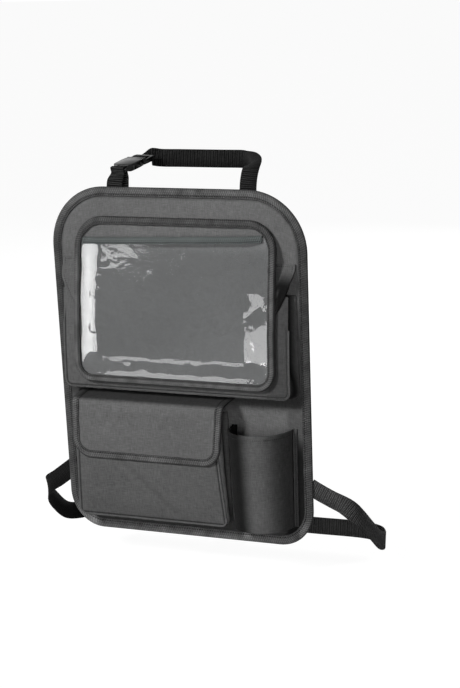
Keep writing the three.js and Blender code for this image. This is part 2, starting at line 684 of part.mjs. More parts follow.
// Profile of the flap: out from its seam, over the fold and down in front of the pocket
const FLAP_STANDOFF = 3 * SEAM_GAP + 2 * TAPE_THICKNESS + CLOTH / 2;
const flapFace = (z) => boxFront(z) - FLAP_STANDOFF;
const flapHeights = [0.15, 0.4, 0.7, 1].map((t) => lerp(FLAP_FOLD - FLAP_FOLD_RADIUS, FLAP_BOTTOM, t));
const flapSeamY = PANEL_FRONT - SEAM_GAP - CLOTH / 2;
const flapFoldY = flapFace(FLAP_FOLD);
const flapCurve = new THREE.CatmullRomCurve3([
  new THREE.Vector3(0, flapSeamY, FLAP_SEAM),
  new THREE.Vector3(0, lerp(flapSeamY, flapFoldY, 0.5), lerp(FLAP_SEAM, FLAP_FOLD, 0.4)),
  new THREE.Vector3(0, flapFoldY + FLAP_FOLD_RADIUS, FLAP_FOLD + FLAP_FOLD_RADIUS * 0.1),
  new THREE.Vector3(0, flapFoldY + FLAP_FOLD_RADIUS * 0.3, FLAP_FOLD - FLAP_FOLD_RADIUS * 0.3),
  new THREE.Vector3(0, flapFoldY, FLAP_FOLD - FLAP_FOLD_RADIUS),
  ...flapHeights.map((z) => new THREE.Vector3(0, flapFace(z), z)),
], false, 'centripetal');
const flapLength = flapCurve.getLength();
const flapFoldAt = Math.abs(flapFoldY - flapSeamY);

// A point on the flap: across it, down its length from the seam, and out from its middle
function flapPoint(x, down, out) {
  const t = clamp(down / flapLength, 0, 1);
  const p = flapCurve.getPointAt(t);
  const along = flapCurve.getTangentAt(t);
  return new THREE.Vector3(x, p.y + out * along.z, p.z - out * along.y);
}

const flapShare = (down) => clamp((down - flapFoldAt) / (flapLength - flapFoldAt), 0, 1);
const flapLeft = (down) => lerp(FLAP_LEFT_FOLD, FLAP_LEFT_BOTTOM, flapShare(down));
const flapRight = (down) => lerp(FLAP_RIGHT_FOLD, FLAP_RIGHT_BOTTOM, flapShare(down));
const flapStraight = flapLength - FLAP_CORNER;

// Stops down the straight part of the flap, closer together over its fold
const flapStops = [
  ...steps(3).slice(0, -1).map((t) => lerp(0, flapFoldAt - FLAP_FOLD_RADIUS, t)),
  ...steps(5).map((t) => lerp(flapFoldAt - FLAP_FOLD_RADIUS, flapFoldAt + FLAP_FOLD_RADIUS, t)),
  ...steps(4).slice(1, -1).map((t) => lerp(flapFoldAt + FLAP_FOLD_RADIUS, flapStraight, t)),
];

function boxPocketFlap() {
  const inset = BINDING_FOLD + SEAM_GAP;
  const radius = FLAP_CORNER - inset;
  const rows = [
    ...flapStops,
    ...steps(ARC_STEPS).map((t) => flapStraight + radius * Math.sin((Math.PI / 2) * t)),
  ];
  const grid = rows.map((down) => {
    const rise = Math.max(down - flapStraight, 0);
    const cut = rise > 0 ? FLAP_CORNER - Math.sqrt(Math.max(radius * radius - rise * rise, 0)) : inset;
    const level = Math.min(down, flapStraight);
    const place = (t) => lerp(flapLeft(level) + cut, flapRight(level) - cut, t);
    return steps(SHEET_STEPS).map((t) => flapPoint(place(t), down, 0));
  });
  return sheet(grid);
}

function boxFlapBinding() {
  const rear = -(CLOTH / 2 + SEAM_GAP + BINDING_LEG);
  const section = bindingSection(FLAP_BINDING_WIDTH, rear, -rear);
  const frame = {
    left: (height) => flapLeft(-height),
    right: (height) => flapRight(-height),
    bottom: -flapLength,
    corner: FLAP_CORNER,
  };
  const stops = flapStops.map((down) => -down);
  const paths = section.map(([inset]) => pocketPath(frame, stops, inset));
  return loft(paths[0].map((_, i) => (
    section.map(([, depth], k) => flapPoint(paths[k][i][0], -paths[k][i][1], depth))
  )));
}

// Closing tapes: hooks under the flap, loops on the front of the pocket
function closingTape(offset) {
  const grid = [-0.5, 0, 0.5].map((v) => {
    const z = BOX_MOUTH - TAPE_DROP + v * TAPE_WIDTH;
    return [-0.5, 0, 0.5].map((u) => (
      new THREE.Vector3(TAPE_CENTRE_X + u * TAPE_LENGTH, boxFront(z) - offset, z)
    ));
  });
  return sheet(grid, TAPE_THICKNESS);
}

add('box_pocket_front', boxPocketFront(), cloth());
add('box_pocket_gusset', boxPocketGusset(), cloth());
add('box_pocket_flap', boxPocketFlap(), cloth());
add('box_flap_binding', boxFlapBinding(), tape());
add('front_loop_tape', closingTape(SEAM_GAP + TAPE_THICKNESS / 2), tape());
add('flap_hook_tape', closingTape(2 * SEAM_GAP + TAPE_THICKNESS * 1.5), tape());

// Bottle pocket: a round sleeve between two flat flanges on the panel
function bottleSection(z, inset) {
  const fall = (BOTTLE_MOUTH - z) / (BOTTLE_MOUTH - BOTTLE_BOTTOM);
  const middle = (BOTTLE_LEFT + BOTTLE_RIGHT) / 2;
  const half = (BOTTLE_RIGHT - BOTTLE_LEFT) / 2 - BOTTLE_TAPER * fall - inset;
  const depth = lerp(BOTTLE_DEPTH_MOUTH, BOTTLE_DEPTH_BOTTOM, fall) - inset;
  const seat = PANEL_FRONT - SEAM_GAP - CLOTH / 2;
  return steps(SLEEVE_STEPS).map((t) => {
    const angle = Math.PI * t;
    const out = Math.pow(Math.sin(angle), BOTTLE_ROUNDNESS);
    return [middle - half * Math.cos(angle), seat - (depth - CLOTH / 2) * out];
  });
}

function bottleSleeve() {
  const levels = steps(SHEET_STEPS).map((t) => lerp(BOTTLE_BOTTOM, BOTTLE_MOUTH - BOTTLE_HEM, t));
  levels.push(BOTTLE_MOUTH - BOTTLE_HEM * 0.9, BOTTLE_MOUTH);
  const hemRow = levels.length - 2;
  const grid = levels.map((z) => {
    const arc = bottleSection(z, 0);
    const [first, last] = [arc[0], arc[arc.length - 1]];
    const flanged = [[first[0] - BOTTLE_FLANGE, first[1]], ...arc, [last[0] + BOTTLE_FLANGE, last[1]]];
    return flanged.map(([x, y]) => new THREE.Vector3(x, y, z));
  });
  grid.forEach((row) => row.forEach((p) => { p.y -= (BOTTLE_HEM_THICKNESS - CLOTH) / 2; }));
  return sheet(grid, (r) => (r >= hemRow ? BOTTLE_HEM_THICKNESS : CLOTH));
}

function bottleBase() {
  const z = BOTTLE_BOTTOM + BOTTLE_BASE_RISE;
  const outline = bottleSection(z, CLOTH / 2 + SEAM_GAP);
  const loop = (level) => outline.map(([x, y]) => (
    new THREE.Vector3(x, Math.min(y, PANEL_FRONT - SEAM_GAP), level)
  ));
  return loft([loop(z), loop(z + CLOTH)]);
}

add('bottle_pocket_sleeve', bottleSleeve(), cloth());
add('bottle_pocket_base', bottleBase(), cloth());

// Buckle parts lie along X, with their width along Y and their thickness along Z.
const CLIP_START = SOCKET_LENGTH + CLIP_CLEARANCE;
const FRAME_START = CLIP_START + CLIP_FLANGE;
const LADDER_START = FRAME_START + BUCKLE_SLOT;
const OUTER_SLOT = LADDER_START + LADDER_BAR;
const END_BAR = OUTER_SLOT + BUCKLE_SLOT;
const CLIP_END = END_BAR + BUCKLE_BAR;
const SLOT_HALF = BUCKLE_WIDTH / 2 - BUCKLE_RAIL;
const CAVITY_HALF = BUCKLE_WIDTH / 2 - SOCKET_SIDE;
const CAVITY_HEIGHT = BUCKLE_THICKNESS - 2 * SOCKET_WALL;

function solidOf(geometry) {
  const clean = geometry.clone();
  clean.deleteAttribute('normal');
  clean.deleteAttribute('uv');
  const merged = mergeVertices(clean, 1e-4);
  return new wasm.Manifold(new wasm.Mesh({
    numProp: 3,
    vertProperties: new Float32Array(merged.attributes.position.array),
    triVerts: new Uint32Array(merged.index.array),
  }));
}

function geometryOf(solid) {
  const mesh = solid.getMesh();
  const geometry = new THREE.BufferGeometry();
  geometry.setAttribute('position', new THREE.BufferAttribute(new Float32Array(mesh.vertProperties), 3));
  geometry.setIndex(new THREE.BufferAttribute(new Uint32Array(mesh.triVerts), 1));
  geometry.computeVertexNormals();
  return geometry;
}

// A flat outline thickened evenly to both sides, with rounded edges where asked
function plate(points, height, edge = 0) {
  const shape = new THREE.Shape(points.map(([x, y]) => new THREE.Vector2(x, y)));
  const geometry = new THREE.ExtrudeGeometry(shape, {
    depth: height - 2 * edge,
    bevelEnabled: edge > 0,
    bevelThickness: edge,
    bevelSize: edge,
    bevelOffset: -edge,
    bevelSegments: 2,
    steps: 1,
  });
  return solidOf(geometry.translate(0, 0, -(height - 2 * edge) / 2));
}

function rectangle(x0, x1, y0, y1) {
  return [[x0, y0], [x1, y0], [x1, y1], [x0, y1]];
}

// An outline given along one side and mirrored over X
function mirrored(side) {
  return [...side.map(([x, y]) => [x, -y]), ...[...side].reverse()];
}

function buckleSocket() {
  const half = BUCKLE_WIDTH / 2;
  const waist = BUCKLE_BAR + BUCKLE_SLOT;
  const shell = plate(mirrored([
    [waist, half - SOCKET_SHOULDER], [waist + SOCKET_SHOULDER, half - SOCKET_CROWN], [WINDOW_START, half],
    [WINDOW_START + WINDOW_LENGTH, half], [SOCKET_LENGTH, half - CLIP_TAPER],
  ]), BUCKLE_THICKNESS, BUCKLE_EDGE);
  const tail = plate(mirrored([
    [0, half - SOCKET_SHOULDER], [SOCKET_TAIL_CUT, half - SOCKET_TAIL_CUT],
    [waist + SOCKET_SHOULDER + CLIP_TAPER, half - SOCKET_TAIL_CUT],
  ]), BUCKLE_BAR_HEIGHT);
  const slot = plate(rectangle(BUCKLE_BAR, waist, -SLOT_HALF, SLOT_HALF), BUCKLE_THICKNESS * 2);
  const cavity = plate(rectangle(waist + BUCKLE_BAR, CLIP_START, -CAVITY_HALF, CAVITY_HALF), CAVITY_HEIGHT);
  const sides = rectangle(WINDOW_START, WINDOW_START + WINDOW_LENGTH, -BUCKLE_WIDTH, BUCKLE_WIDTH);
  const windows = plate(sides, CAVITY_HEIGHT);
  return geometryOf(shell.add(tail).subtract(slot).subtract(cavity).subtract(windows));
}

// One side of the sprung prong, with the barb that fills the socket's side window
function prongSide(side) {
  const outer = BUCKLE_WIDTH / 2;
  const inner = CAVITY_HALF - CLIP_CLEARANCE - CLIP_ARM;
  const tip = WINDOW_START + CLIP_CLEARANCE;
  const heel = WINDOW_START + WINDOW_LENGTH - CLIP_CLEARANCE;
  const arm = CAVITY_HALF - CLIP_CLEARANCE;
  return [
    [CLIP_START + CLIP_TAPER, inner], [tip + CLIP_ARM, inner], [tip, arm - BARB_CUT],
    [tip + CLIP_TAPER, outer - CLIP_END_CUT], [tip + BARB_SLOPE, outer - BARB_CUT / 2],
    [heel - CLIP_TAPER, outer], [heel, outer - BARB_CUT], [heel, arm], [CLIP_START + CLIP_TAPER, arm],
  ].map(([x, y]) => [x, side * y]);
}

function buckleClip() {
  const half = BUCKLE_WIDTH / 2;
  const height = CAVITY_HEIGHT - 2 * CLIP_CLEARANCE;
  const root = CLIP_START + CLIP_TAPER;
  const collar = mirrored([[CLIP_START, half - CLIP_TAPER], [FRAME_START, half]]);
  const flange = plate(collar, CLIP_FLANGE_THICKNESS, BUCKLE_EDGE / 2);
  const ladder = plate(mirrored([
    [FRAME_START - CLIP_TAPER, half], [END_BAR, half], [CLIP_END, half - CLIP_END_CUT],
  ]), BUCKLE_BAR_HEIGHT);
  const tongue = plate(rectangle(WINDOW_START + BUCKLE_BAR, root, -CLIP_TONGUE / 2, CLIP_TONGUE / 2), height);
  const slot = (start) => (
    plate(rectangle(start, start + BUCKLE_SLOT, -SLOT_HALF, SLOT_HALF), BUCKLE_THICKNESS * 2)
  );
  return geometryOf(
    flange.add(ladder).add(tongue)
      .add(plate(prongSide(-1).reverse(), height))
      .add(plate(prongSide(1), height))
      .subtract(slot(FRAME_START))
      .subtract(slot(OUTER_SLOT)),
  );
}

// Frame of a buckle: its place, and the ways its length and its thickness point
function buckleFrame(start, along, up) {
  const normal = up.clone().projectOnPlane(along).normalize();
  const width = new THREE.Vector3().crossVectors(normal, along);
  const matrix = new THREE.Matrix4().makeBasis(along, width, normal).setPosition(start);
  const group = new THREE.Group();
  group.applyMatrix4(matrix);
  organizer.add(group);
  const point = (x, height) => new THREE.Vector3(x, 0, height).applyMatrix4(matrix);
  return { group, width, point };
}

function addBuckle(name, frame) {
  add(`${name}_buckle_socket`, buckleSocket(), plastic(), frame.group);
  add(`${name}_buckle_clip`, buckleClip(), plastic(), frame.group);
}

// Where webbing runs past a bar: the height of its middle above the buckle's middle
const OVER_BAR = BUCKLE_BAR_HEIGHT / 2 + WEBBING_GAP + WEBBING_THICKNESS / 2;
const BESIDE_BAR = WEBBING_GAP + WEBBING_THICKNESS / 2;

// Webbing round the first bar of the socket, over it or under it
function barWrap(side) {
  const round = BESIDE_BAR * Math.SQRT1_2 + WRAP_EASE;
  const top = BUCKLE_BAR_HEIGHT / 2;
  return [
    [-BESIDE_BAR, 0], [-round, top + round], [BUCKLE_BAR / 2, OVER_BAR + 1.5 * WRAP_EASE],
    [BUCKLE_BAR + round, top + round], [BUCKLE_BAR + BESIDE_BAR, 0],
  ].map(([x, height]) => [x, side * height]);
}

// Webbing threaded through the clip: under the end bar, over the ladder bar and back out below
function ladderRoute(frame, width) {
  const outer = OUTER_SLOT + BUCKLE_SLOT / 2;
  const inner = FRAME_START + BUCKLE_SLOT / 2;
  const ladder = LADDER_START + LADDER_BAR / 2;
  const below = -(OVER_BAR + WEBBING_THICKNESS + 2 * WEBBING_GAP);
  return [
    [CLIP_END, -OVER_BAR], [END_BAR + BUCKLE_BAR / 3, -OVER_BAR], [outer + 1.4, -OVER_BAR + 0.3],
    [outer + SLOT_LEAN, -SLOT_REACH], [outer, 0], [outer - SLOT_LEAN, SLOT_REACH],
    [ladder + BAR_HALF_CREST, OVER_BAR - 2 * WRAP_EASE], [ladder, OVER_BAR + WRAP_EASE],
    [ladder - BAR_HALF_CREST, OVER_BAR - 2 * WRAP_EASE], [inner + SLOT_LEAN, SLOT_REACH],
    [inner, 0], [inner, -1.8], [inner + 0.6, below + 1], [inner + 2.6, below], [END_BAR, below - SLOT_LEAN],
    [CLIP_END + TAIL_BEND, below - TAIL_BEND_FALL], [CLIP_END + TAIL_LENGTH, below - TAIL_FALL],
  ].map(([x, height]) => [frame.point(x, height), width]);
}

const vector = (x, y, z) => new THREE.Vector3(x, y, z);
const STRAP_REST = SEAM_GAP + WEBBING_THICKNESS / 2;
const STRAP_END = PANEL_TOP - STRAP_OVERLAP;

// Long top strap: up behind the panel, over, out to the far side of both posts and back to the clip
function longTopStrap(frame) {
  const across = vector(1, 0, 0);
  const upright = vector(0, 0, 1);
  const z = PANEL_TOP + POST_STRAP_RISE;
  const outside = POST_HALF_SPACING + POST_HALF_WIDTH;
  const run = [1, 0.5, 0, -0.5, -1].map((t) => [vector(t * POST_HALF_SPACING, POST_STRAP_Y, z), upright]);
  return band([
    [vector(TOP_STRAP_X, STRAP_REST, STRAP_END), across],
    [vector(TOP_STRAP_X, STRAP_REST, PANEL_TOP + 2), across],
    [vector(TOP_STRAP_X + 1, 3.5, PANEL_TOP + 17), across],
    [vector(TOP_STRAP_X + 1.5, 9.5, z - 2), across],
    [vector(TOP_STRAP_X - 1, 22, z + 2.5), vector(0.95, 0, 0.3)],
    [vector(TOP_STRAP_X - 12, 44, z + 2.5), vector(0.6, 0.2, 0.8)],
    [vector(outside + 11, 64, z + 1), vector(0.1, 0, 1)],
    [vector(outside, POST_STRAP_Y - 7.5, z), upright],
    ...run,
    [vector(-outside, POST_STRAP_Y - 6, z + 2), vector(-0.3, 0, 0.9)],
    [frame.point(CLIP_END + 7, -OVER_BAR - 0.3), frame.width.clone().add(vector(0, 0, 0.35))],
    ...ladderRoute(frame, frame.width),
  ]);
}

// Short top strap: up behind the panel, round the socket's bar and back down behind itself
function shortTopStrap(frame) {
  const across = vector(-1, 0, 0);
  const beside = BUCKLE_BAR + BESIDE_BAR;
  const wrap = [[-BESIDE_BAR - SEAM_GAP, -4], ...barWrap(1), [beside + WRAP_EASE, -2.5], [beside, -4.5]]
    .map(([x, height]) => [frame.point(x, height), frame.width]);
  return band([
    [vector(SHORT_STRAP_X, STRAP_REST, STRAP_END), across],
    [vector(SHORT_STRAP_X, STRAP_REST, PANEL_TOP + 1), across],
    [vector(SHORT_STRAP_X + 0.5, 3.2, PANEL_TOP + 9), across],
    ...wrap,
    [vector(SHORT_STRAP_X + 4, 13.5, PANEL_TOP + 11), frame.width],
    [vector(SHORT_STRAP_X + 6, 8.4, PANEL_TOP + 4), vector(-1, 0.1, 0)],
    [vector(SHORT_STRAP_X + 7, 5.4, PANEL_TOP - 2), across],
    [vector(SHORT_STRAP_X + 7, 4.8, PANEL_TOP - 9), across],
  ]);
}

// The lower loop passes below the panel. This is the height of its front run.
const lowerLoopZ = PANEL_BOTTOM - LOWER_LOOP_DROP;

// Half of the lower loop, from the panel's side edge out and forward to the front run
function lowerRoute(side, drop) {
  const half = LOWER_LOOP_HALF_WIDTH;
  const edge = PANEL_WIDTH_BOTTOM / 2 - LOWER_STRAP_INSET;
  const start = PANEL_BOTTOM + LOWER_STRAP_RISE;
  const y = LOWER_LOOP_Y;
  const z = lowerLoopZ;
  const sewn = vector(side * 0.5, 0, 0.87);
  return [
    [vector(side * edge, STRAP_REST, start), sewn],
    [vector(side * (edge + 14), STRAP_REST + 0.8, start - 7.5 - drop * 0.4), sewn],
    [vector(side * (edge + 30), 4.5, start - 16 - drop * 0.8), vector(side * 0.48, 0, 0.87)],
    [vector(side * (half - 18), 9.5, start - 26 - drop), vector(side * 0.42, 0.15, 0.87)],
    [vector(side * (half - 6), 27, start - 46 - drop * 0.5), vector(side * 0.15, 0.5, 0.8)],
    [vector(side * half, 52, start - 70), vector(0, 0.7, 0.7)],
    [vector(side * half, 82, z + 7), vector(0, 0.5, 0.85)],
    [vector(side * (half - 5), y - 32, z - 1), vector(0, 0.2, 0.97)],
    [vector(side * (half - 20), y - 9, z - 1), vector(0, 0, 1)],
    [vector(side * (half - 48), y, z), vector(0, 0, 1)],
  ];
}

const topBuckle = buckleFrame(
  vector(TOP_BUCKLE_X, TOP_BUCKLE_Y, PANEL_TOP + TOP_BUCKLE_RISE), TOP_BUCKLE_AXIS, vector(0, 0, 1),
);
const lowerBuckle = buckleFrame(
  vector(-CLIP_END / 2, LOWER_LOOP_Y, lowerLoopZ), vector(1, 0, 0), vector(0, 1, 0),
);

function rightLowerStrap(frame) {
  const upright = vector(0, 0, 1);
  return band([
    ...lowerRoute(1, 0),
    [vector(LOWER_LOOP_HALF_WIDTH / 2, LOWER_LOOP_Y, lowerLoopZ), upright],
    [frame.point(CLIP_END + 16, -1.5), upright],
    ...ladderRoute(frame, upright),
  ]);
}

// The left strap is sewn back on itself round the socket's bar.
function leftLowerStrap(frame) {
  const upright = vector(0, 0, 1);
  const over = barWrap(1).slice(1).reverse();
  const loop = [
    [-70, 0], [-24, -0.2], [-8, -2.2], [-1, -OVER_BAR], ...barWrap(-1).slice(2), ...over, [-1, OVER_BAR],
    [-8, 2.5], [-24, WEBBING_THICKNESS + SEAM_GAP], [-38, WEBBING_THICKNESS + SEAM_GAP],
  ].map(([x, height]) => [frame.point(x, height), upright]);
  return band([...lowerRoute(-1, 6), ...loop]);
}

addBuckle('top', topBuckle);
addBuckle('lower', lowerBuckle);
add('top_strap_long', longTopStrap(topBuckle), webbing());
add('top_strap_short', shortTopStrap(topBuckle), webbing());
add('lower_strap_right', rightLowerStrap(lowerBuckle), webbing());
add('lower_strap_left', leftLowerStrap(lowerBuckle), webbing());

export default organizer;
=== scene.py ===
# %% [markdown]
# # A seat back organizer
# The real product is a padded cloth panel with pockets, hung up by black webbing.
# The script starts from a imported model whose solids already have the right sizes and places.
# Each step below dresses one of them: cloth that puckers at its seams, ribbed tape folded over the
# edges, rows of thread, clear film, webbing and moulded buckles.

import math

import bpy
import numpy as np
from mathutils import Matrix, Vector, noise


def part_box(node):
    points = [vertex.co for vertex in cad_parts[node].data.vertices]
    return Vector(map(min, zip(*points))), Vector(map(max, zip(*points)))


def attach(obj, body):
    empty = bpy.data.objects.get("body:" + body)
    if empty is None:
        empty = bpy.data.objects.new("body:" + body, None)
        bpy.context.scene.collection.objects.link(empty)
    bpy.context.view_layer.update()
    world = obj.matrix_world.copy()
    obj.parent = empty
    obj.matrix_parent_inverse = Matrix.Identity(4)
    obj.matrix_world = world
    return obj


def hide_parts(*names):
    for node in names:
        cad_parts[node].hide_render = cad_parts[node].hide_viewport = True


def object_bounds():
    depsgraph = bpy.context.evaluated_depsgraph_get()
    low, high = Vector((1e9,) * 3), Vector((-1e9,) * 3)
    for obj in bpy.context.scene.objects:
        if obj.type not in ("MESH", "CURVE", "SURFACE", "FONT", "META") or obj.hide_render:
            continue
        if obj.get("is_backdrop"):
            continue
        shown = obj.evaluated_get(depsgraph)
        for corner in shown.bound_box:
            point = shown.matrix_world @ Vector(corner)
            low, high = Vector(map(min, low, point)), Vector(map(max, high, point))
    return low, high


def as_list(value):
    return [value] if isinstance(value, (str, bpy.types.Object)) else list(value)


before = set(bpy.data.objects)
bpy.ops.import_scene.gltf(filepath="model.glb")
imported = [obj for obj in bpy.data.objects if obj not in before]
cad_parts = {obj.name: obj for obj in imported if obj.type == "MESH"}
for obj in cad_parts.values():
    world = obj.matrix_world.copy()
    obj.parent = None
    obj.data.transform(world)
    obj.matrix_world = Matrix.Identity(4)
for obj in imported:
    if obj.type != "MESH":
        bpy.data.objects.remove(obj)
cad_low, cad_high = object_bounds()
MM = 0.001
print("The model is", [round(side / MM) for side in cad_high - cad_low], "mm")


def span(node):
    """Lowest and highest corner of a node, in millimetres."""
    low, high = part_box(node)
    return np.array(low) / MM, np.array(high) / MM


# %% [markdown]
# ## Where the picture is taken from
# The camera stands to the right of the panel and a little above it, with a long lens. Its direction is
# worked out from three angles, because those can be read off a photograph one by one.

# %% Camera
CAMERA_PLACE = Vector((1.4049, -2.6121, 0.6363))
CAMERA_AZIMUTH = math.radians(27)
CAMERA_ELEVATION = math.radians(11.64)
CAMERA_ROLL = math.radians(-2.58)
CAMERA_LENS = 115.1


def make_camera():
    flat = math.cos(CAMERA_ELEVATION)
    ahead = Vector((
        -math.sin(CAMERA_AZIMUTH) * flat,
        math.cos(CAMERA_AZIMUTH) * flat,
        -math.sin(CAMERA_ELEVATION),
    ))
    level = Vector((math.cos(CAMERA_AZIMUTH), math.sin(CAMERA_AZIMUTH), 0))
    above = level.cross(ahead)
    right = level * math.cos(CAMERA_ROLL) + above * math.sin(CAMERA_ROLL)
    up = above * math.cos(CAMERA_ROLL) - level * math.sin(CAMERA_ROLL)
    turn = Matrix((right, up, -ahead)).transposed().to_4x4()
    camera = bpy.data.objects.new("camera", bpy.data.cameras.new("camera"))
    camera.data.lens = CAMERA_LENS
    camera.matrix_world = Matrix.Translation(CAMERA_PLACE) @ turn
    bpy.context.scene.collection.objects.link(camera)
    bpy.context.scene.camera = camera


make_camera()
print("The camera stands", round(CAMERA_PLACE.length, 2), "m away, lens", CAMERA_LENS, "mm")

# %% [markdown]
# ## Light and floor
# A key lamp high at the left leaves the right side of every pocket in shadow, and a weak fill beside the
# camera keeps the cloth there readable. A third lamp lights the rear. The reflectors light no cloth: they
# only show as bright streaks on the film and the buckles. The floor and the world are white where they
# are seen, in gloss and through glass too, and dim as a light.

# %% Light and floor
FLOOR_BELOW = 0.012
FLOOR_SIDE = 30
FLOOR_COLOUR = (0.4, 0.4, 0.4, 1)
WHITE = (1, 1, 1, 1)
WORLD_GLOW = 0.03
FLOOR_GLOW = 1.36
FLOOR_GLOW_SHARE = 0.7
# Each lamp has a place and a size in metres, and a power in watts.
LAMPS = {
    "key lamp": ((-0.8, -2.5, 1.75), (0.6, 0.6), 78),
    "fill lamp": ((1.25, -2.6, 0.2), (0.8, 0.8), 28),
    "rear lamp": ((0, 2.6, 0.9), (0.8, 0.8), 60),
}
REFLECTORS = {
    "left reflector": ((-1.6, -0.95, 0.05), (1.15, 1.1), 52),
    "front reflector": ((0.1, -1.95, -0.5), (0.6, 0.6), 12),
    "corner reflector": ((0.15, -1.95, -0.09), (1.5, 0.42), 17),
    "lower reflector": ((-0.2, -0.4, -0.19), (0.24, 0.17), 0.9),
    "wedge reflector": ((-1.2, -1.93, 0.41), (0.17, 0.09), 0.5),
    "upper reflector": ((-0.2, -1.4, 1.6), (0.25, 0.25), 4),
}


def new_node(tree, kind, **settings):
    made = tree.nodes.new(kind)
    for name, value in settings.items():
        setattr(made, name, value)
    return made


def feed(tree, socket, value):
    """Connects an output, or sets a plain value."""
    if isinstance(value, bpy.types.NodeSocket):
        tree.links.new(value, socket)
    else:
        socket.default_value = value


def maths(tree, operation, *values):
    made = new_node(tree, "ShaderNodeMath", operation=operation)
    for socket, value in zip(made.inputs, values):
        feed(tree, socket, value)
    return made.outputs[0]


def before_cloth(tree, path):
    """1 for light that no cloth has thrown back yet."""
    return maths(tree, "LESS_THAN", path.outputs["Diffuse Depth"], 0.5)


def seen_directly(tree):
    """1 where the surface is seen, in gloss and through glass too, and 0 where it only gives light."""
    path = new_node(tree, "ShaderNodeLightPath")
    bent = maths(tree, "MAXIMUM", path.outputs["Is Glossy Ray"], path.outputs["Is Transmission Ray"])
    seen = maths(tree, "MAXIMUM", path.outputs["Is Camera Ray"], bent)
    return maths(tree, "MULTIPLY", seen, before_cloth(tree, path))


def make_world():
    world = bpy.data.worlds.new("studio")
    world.use_nodes = True
    tree = world.node_tree
    background = tree.nodes["Background"]
    background.inputs["Color"].default_value = WHITE
    seen = seen_directly(tree)
    share = maths(tree, "MULTIPLY", seen, 1 - WORLD_GLOW)
    feed(tree, background.inputs["Strength"], maths(tree, "ADD", share, WORLD_GLOW))
    bpy.context.scene.world = world


def make_floor():
    half = FLOOR_SIDE / 2
    z = cad_low.z - FLOOR_BELOW
    mesh = bpy.data.meshes.new("floor")
    corners = [(-half, -half, z), (half, -half, z), (half, half, z), (-half, half, z)]
    mesh.from_pydata(corners, [], [(0, 1, 2, 3)])
    floor = bpy.data.objects.new("floor", mesh)
    bpy.context.scene.collection.objects.link(floor)
    material = bpy.data.materials.new("pale floor")
    material.use_nodes = True
    tree = material.node_tree
    tree.nodes.clear()
    lit = new_node(tree, "ShaderNodeBsdfDiffuse")
    lit.inputs["Color"].default_value = FLOOR_COLOUR
    glow = new_node(tree, "ShaderNodeEmission")
    glow.inputs["Strength"].default_value = FLOOR_GLOW
    mixed = new_node(tree, "ShaderNodeMixShader")
    feed(tree, mixed.inputs["Fac"], maths(tree, "MULTIPLY", seen_directly(tree), FLOOR_GLOW_SHARE))
    tree.links.new(lit.outputs[0], mixed.inputs[1])
    tree.links.new(glow.outputs[0], mixed.inputs[2])
    output = new_node(tree, "ShaderNodeOutputMaterial")
    tree.links.new(mixed.outputs[0], output.inputs["Surface"])
    mesh.materials.append(material)
    floor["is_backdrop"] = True


def make_lamp(name, place, size, power, lights_cloth):
    """An area lamp that faces the object. Light that cloth has thrown back doesn't find it a second time."""
    lamp = bpy.data.lights.new(name, "AREA")
    lamp.use_nodes = True
    tree = lamp.node_tree
    path = new_node(tree, "ShaderNodeLightPath")
    feed(tree, tree.nodes["Emission"].inputs["Strength"], before_cloth(tree, path))
    lamp.shape = "RECTANGLE"
    lamp.size, lamp.size_y = size
    lamp.energy = power
    holder = bpy.data.objects.new(name, lamp)
    holder.location = place
    holder.rotation_euler = (-Vector(place)).to_track_quat("-Z", "Y").to_euler()
    holder.visible_diffuse = lights_cloth
    holder.visible_glossy = name != "fill lamp"
    holder.visible_transmission = False
    bpy.context.scene.collection.objects.link(holder)


bpy.context.scene.view_settings.view_transform = "Standard"
make_world()
make_floor()
for name, lamp in LAMPS.items():
    make_lamp(name, *lamp, lights_cloth=True)
for name, lamp in REFLECTORS.items():
    make_lamp(name, *lamp, lights_cloth=False)
print(len(LAMPS), "lamps light the cloth and", len(REFLECTORS), "reflectors show in gloss")

# %% [markdown]
# ## Finishes
# The weave of the cloth, the ribs of the tape and an uneven dye each become a node group, because
# several materials need them at different scales. The patterns read the piece's own UV map, which is
# measured in metres along the cloth, so threads keep their size round a fold.


# %% Shader group for a plain weave
def group_of(name, inputs, outputs):
    tree = bpy.data.node_groups.new(name, "ShaderNodeTree")
    for label, kind in inputs.items():
        tree.interface.new_socket(label, in_out="INPUT", socket_type=kind)
    for label, kind in outputs.items():
        tree.interface.new_socket(label, in_out="OUTPUT", socket_type=kind)
    return tree, new_node(tree, "NodeGroupInput"), new_node(tree, "NodeGroupOutput")


def blend(tree, share, first, second, kind="MIX"):
    made = new_node(tree, "ShaderNodeMix", data_type="RGBA", blend_type=kind)
    feed(tree, made.inputs["Factor"], share)
    feed(tree, made.inputs["A"], first)
    feed(tree, made.inputs["B"], second)
    return made.outputs["Result"]


COLOUR, NUMBER, DIRECTION = "NodeSocketColor", "NodeSocketFloat", "NodeSocketVector"


SLUB_ALONG = 90
SLUB_ACROSS = 900
SLUB_CONTRAST = 1.5
SLUB_SHARE = 0.55


def multiplied(tree, colour, value):
    """A colour times one number."""
    made = new_node(tree, "ShaderNodeCombineColor")
    for socket in made.inputs[:3]:
        feed(tree, socket, value)
    return blend(tree, 1.0, colour, made.outputs[0], "MULTIPLY")


def slub(tree, place, along, across):
    """Noise drawn out along one thread: thick and thin places in the yarn."""
    stretch = new_node(tree, "ShaderNodeVectorMath", operation="MULTIPLY")
    tree.links.new(place, stretch.inputs[0])
    stretch.inputs[1].default_value = (along, across, along)
    made = new_node(tree, "ShaderNodeTexNoise")
    tree.links.new(stretch.outputs[0], made.inputs["Vector"])
    made.inputs["Scale"].default_value = 1.0
    made.inputs["Detail"].default_value = 1.0
    return made.outputs[0]


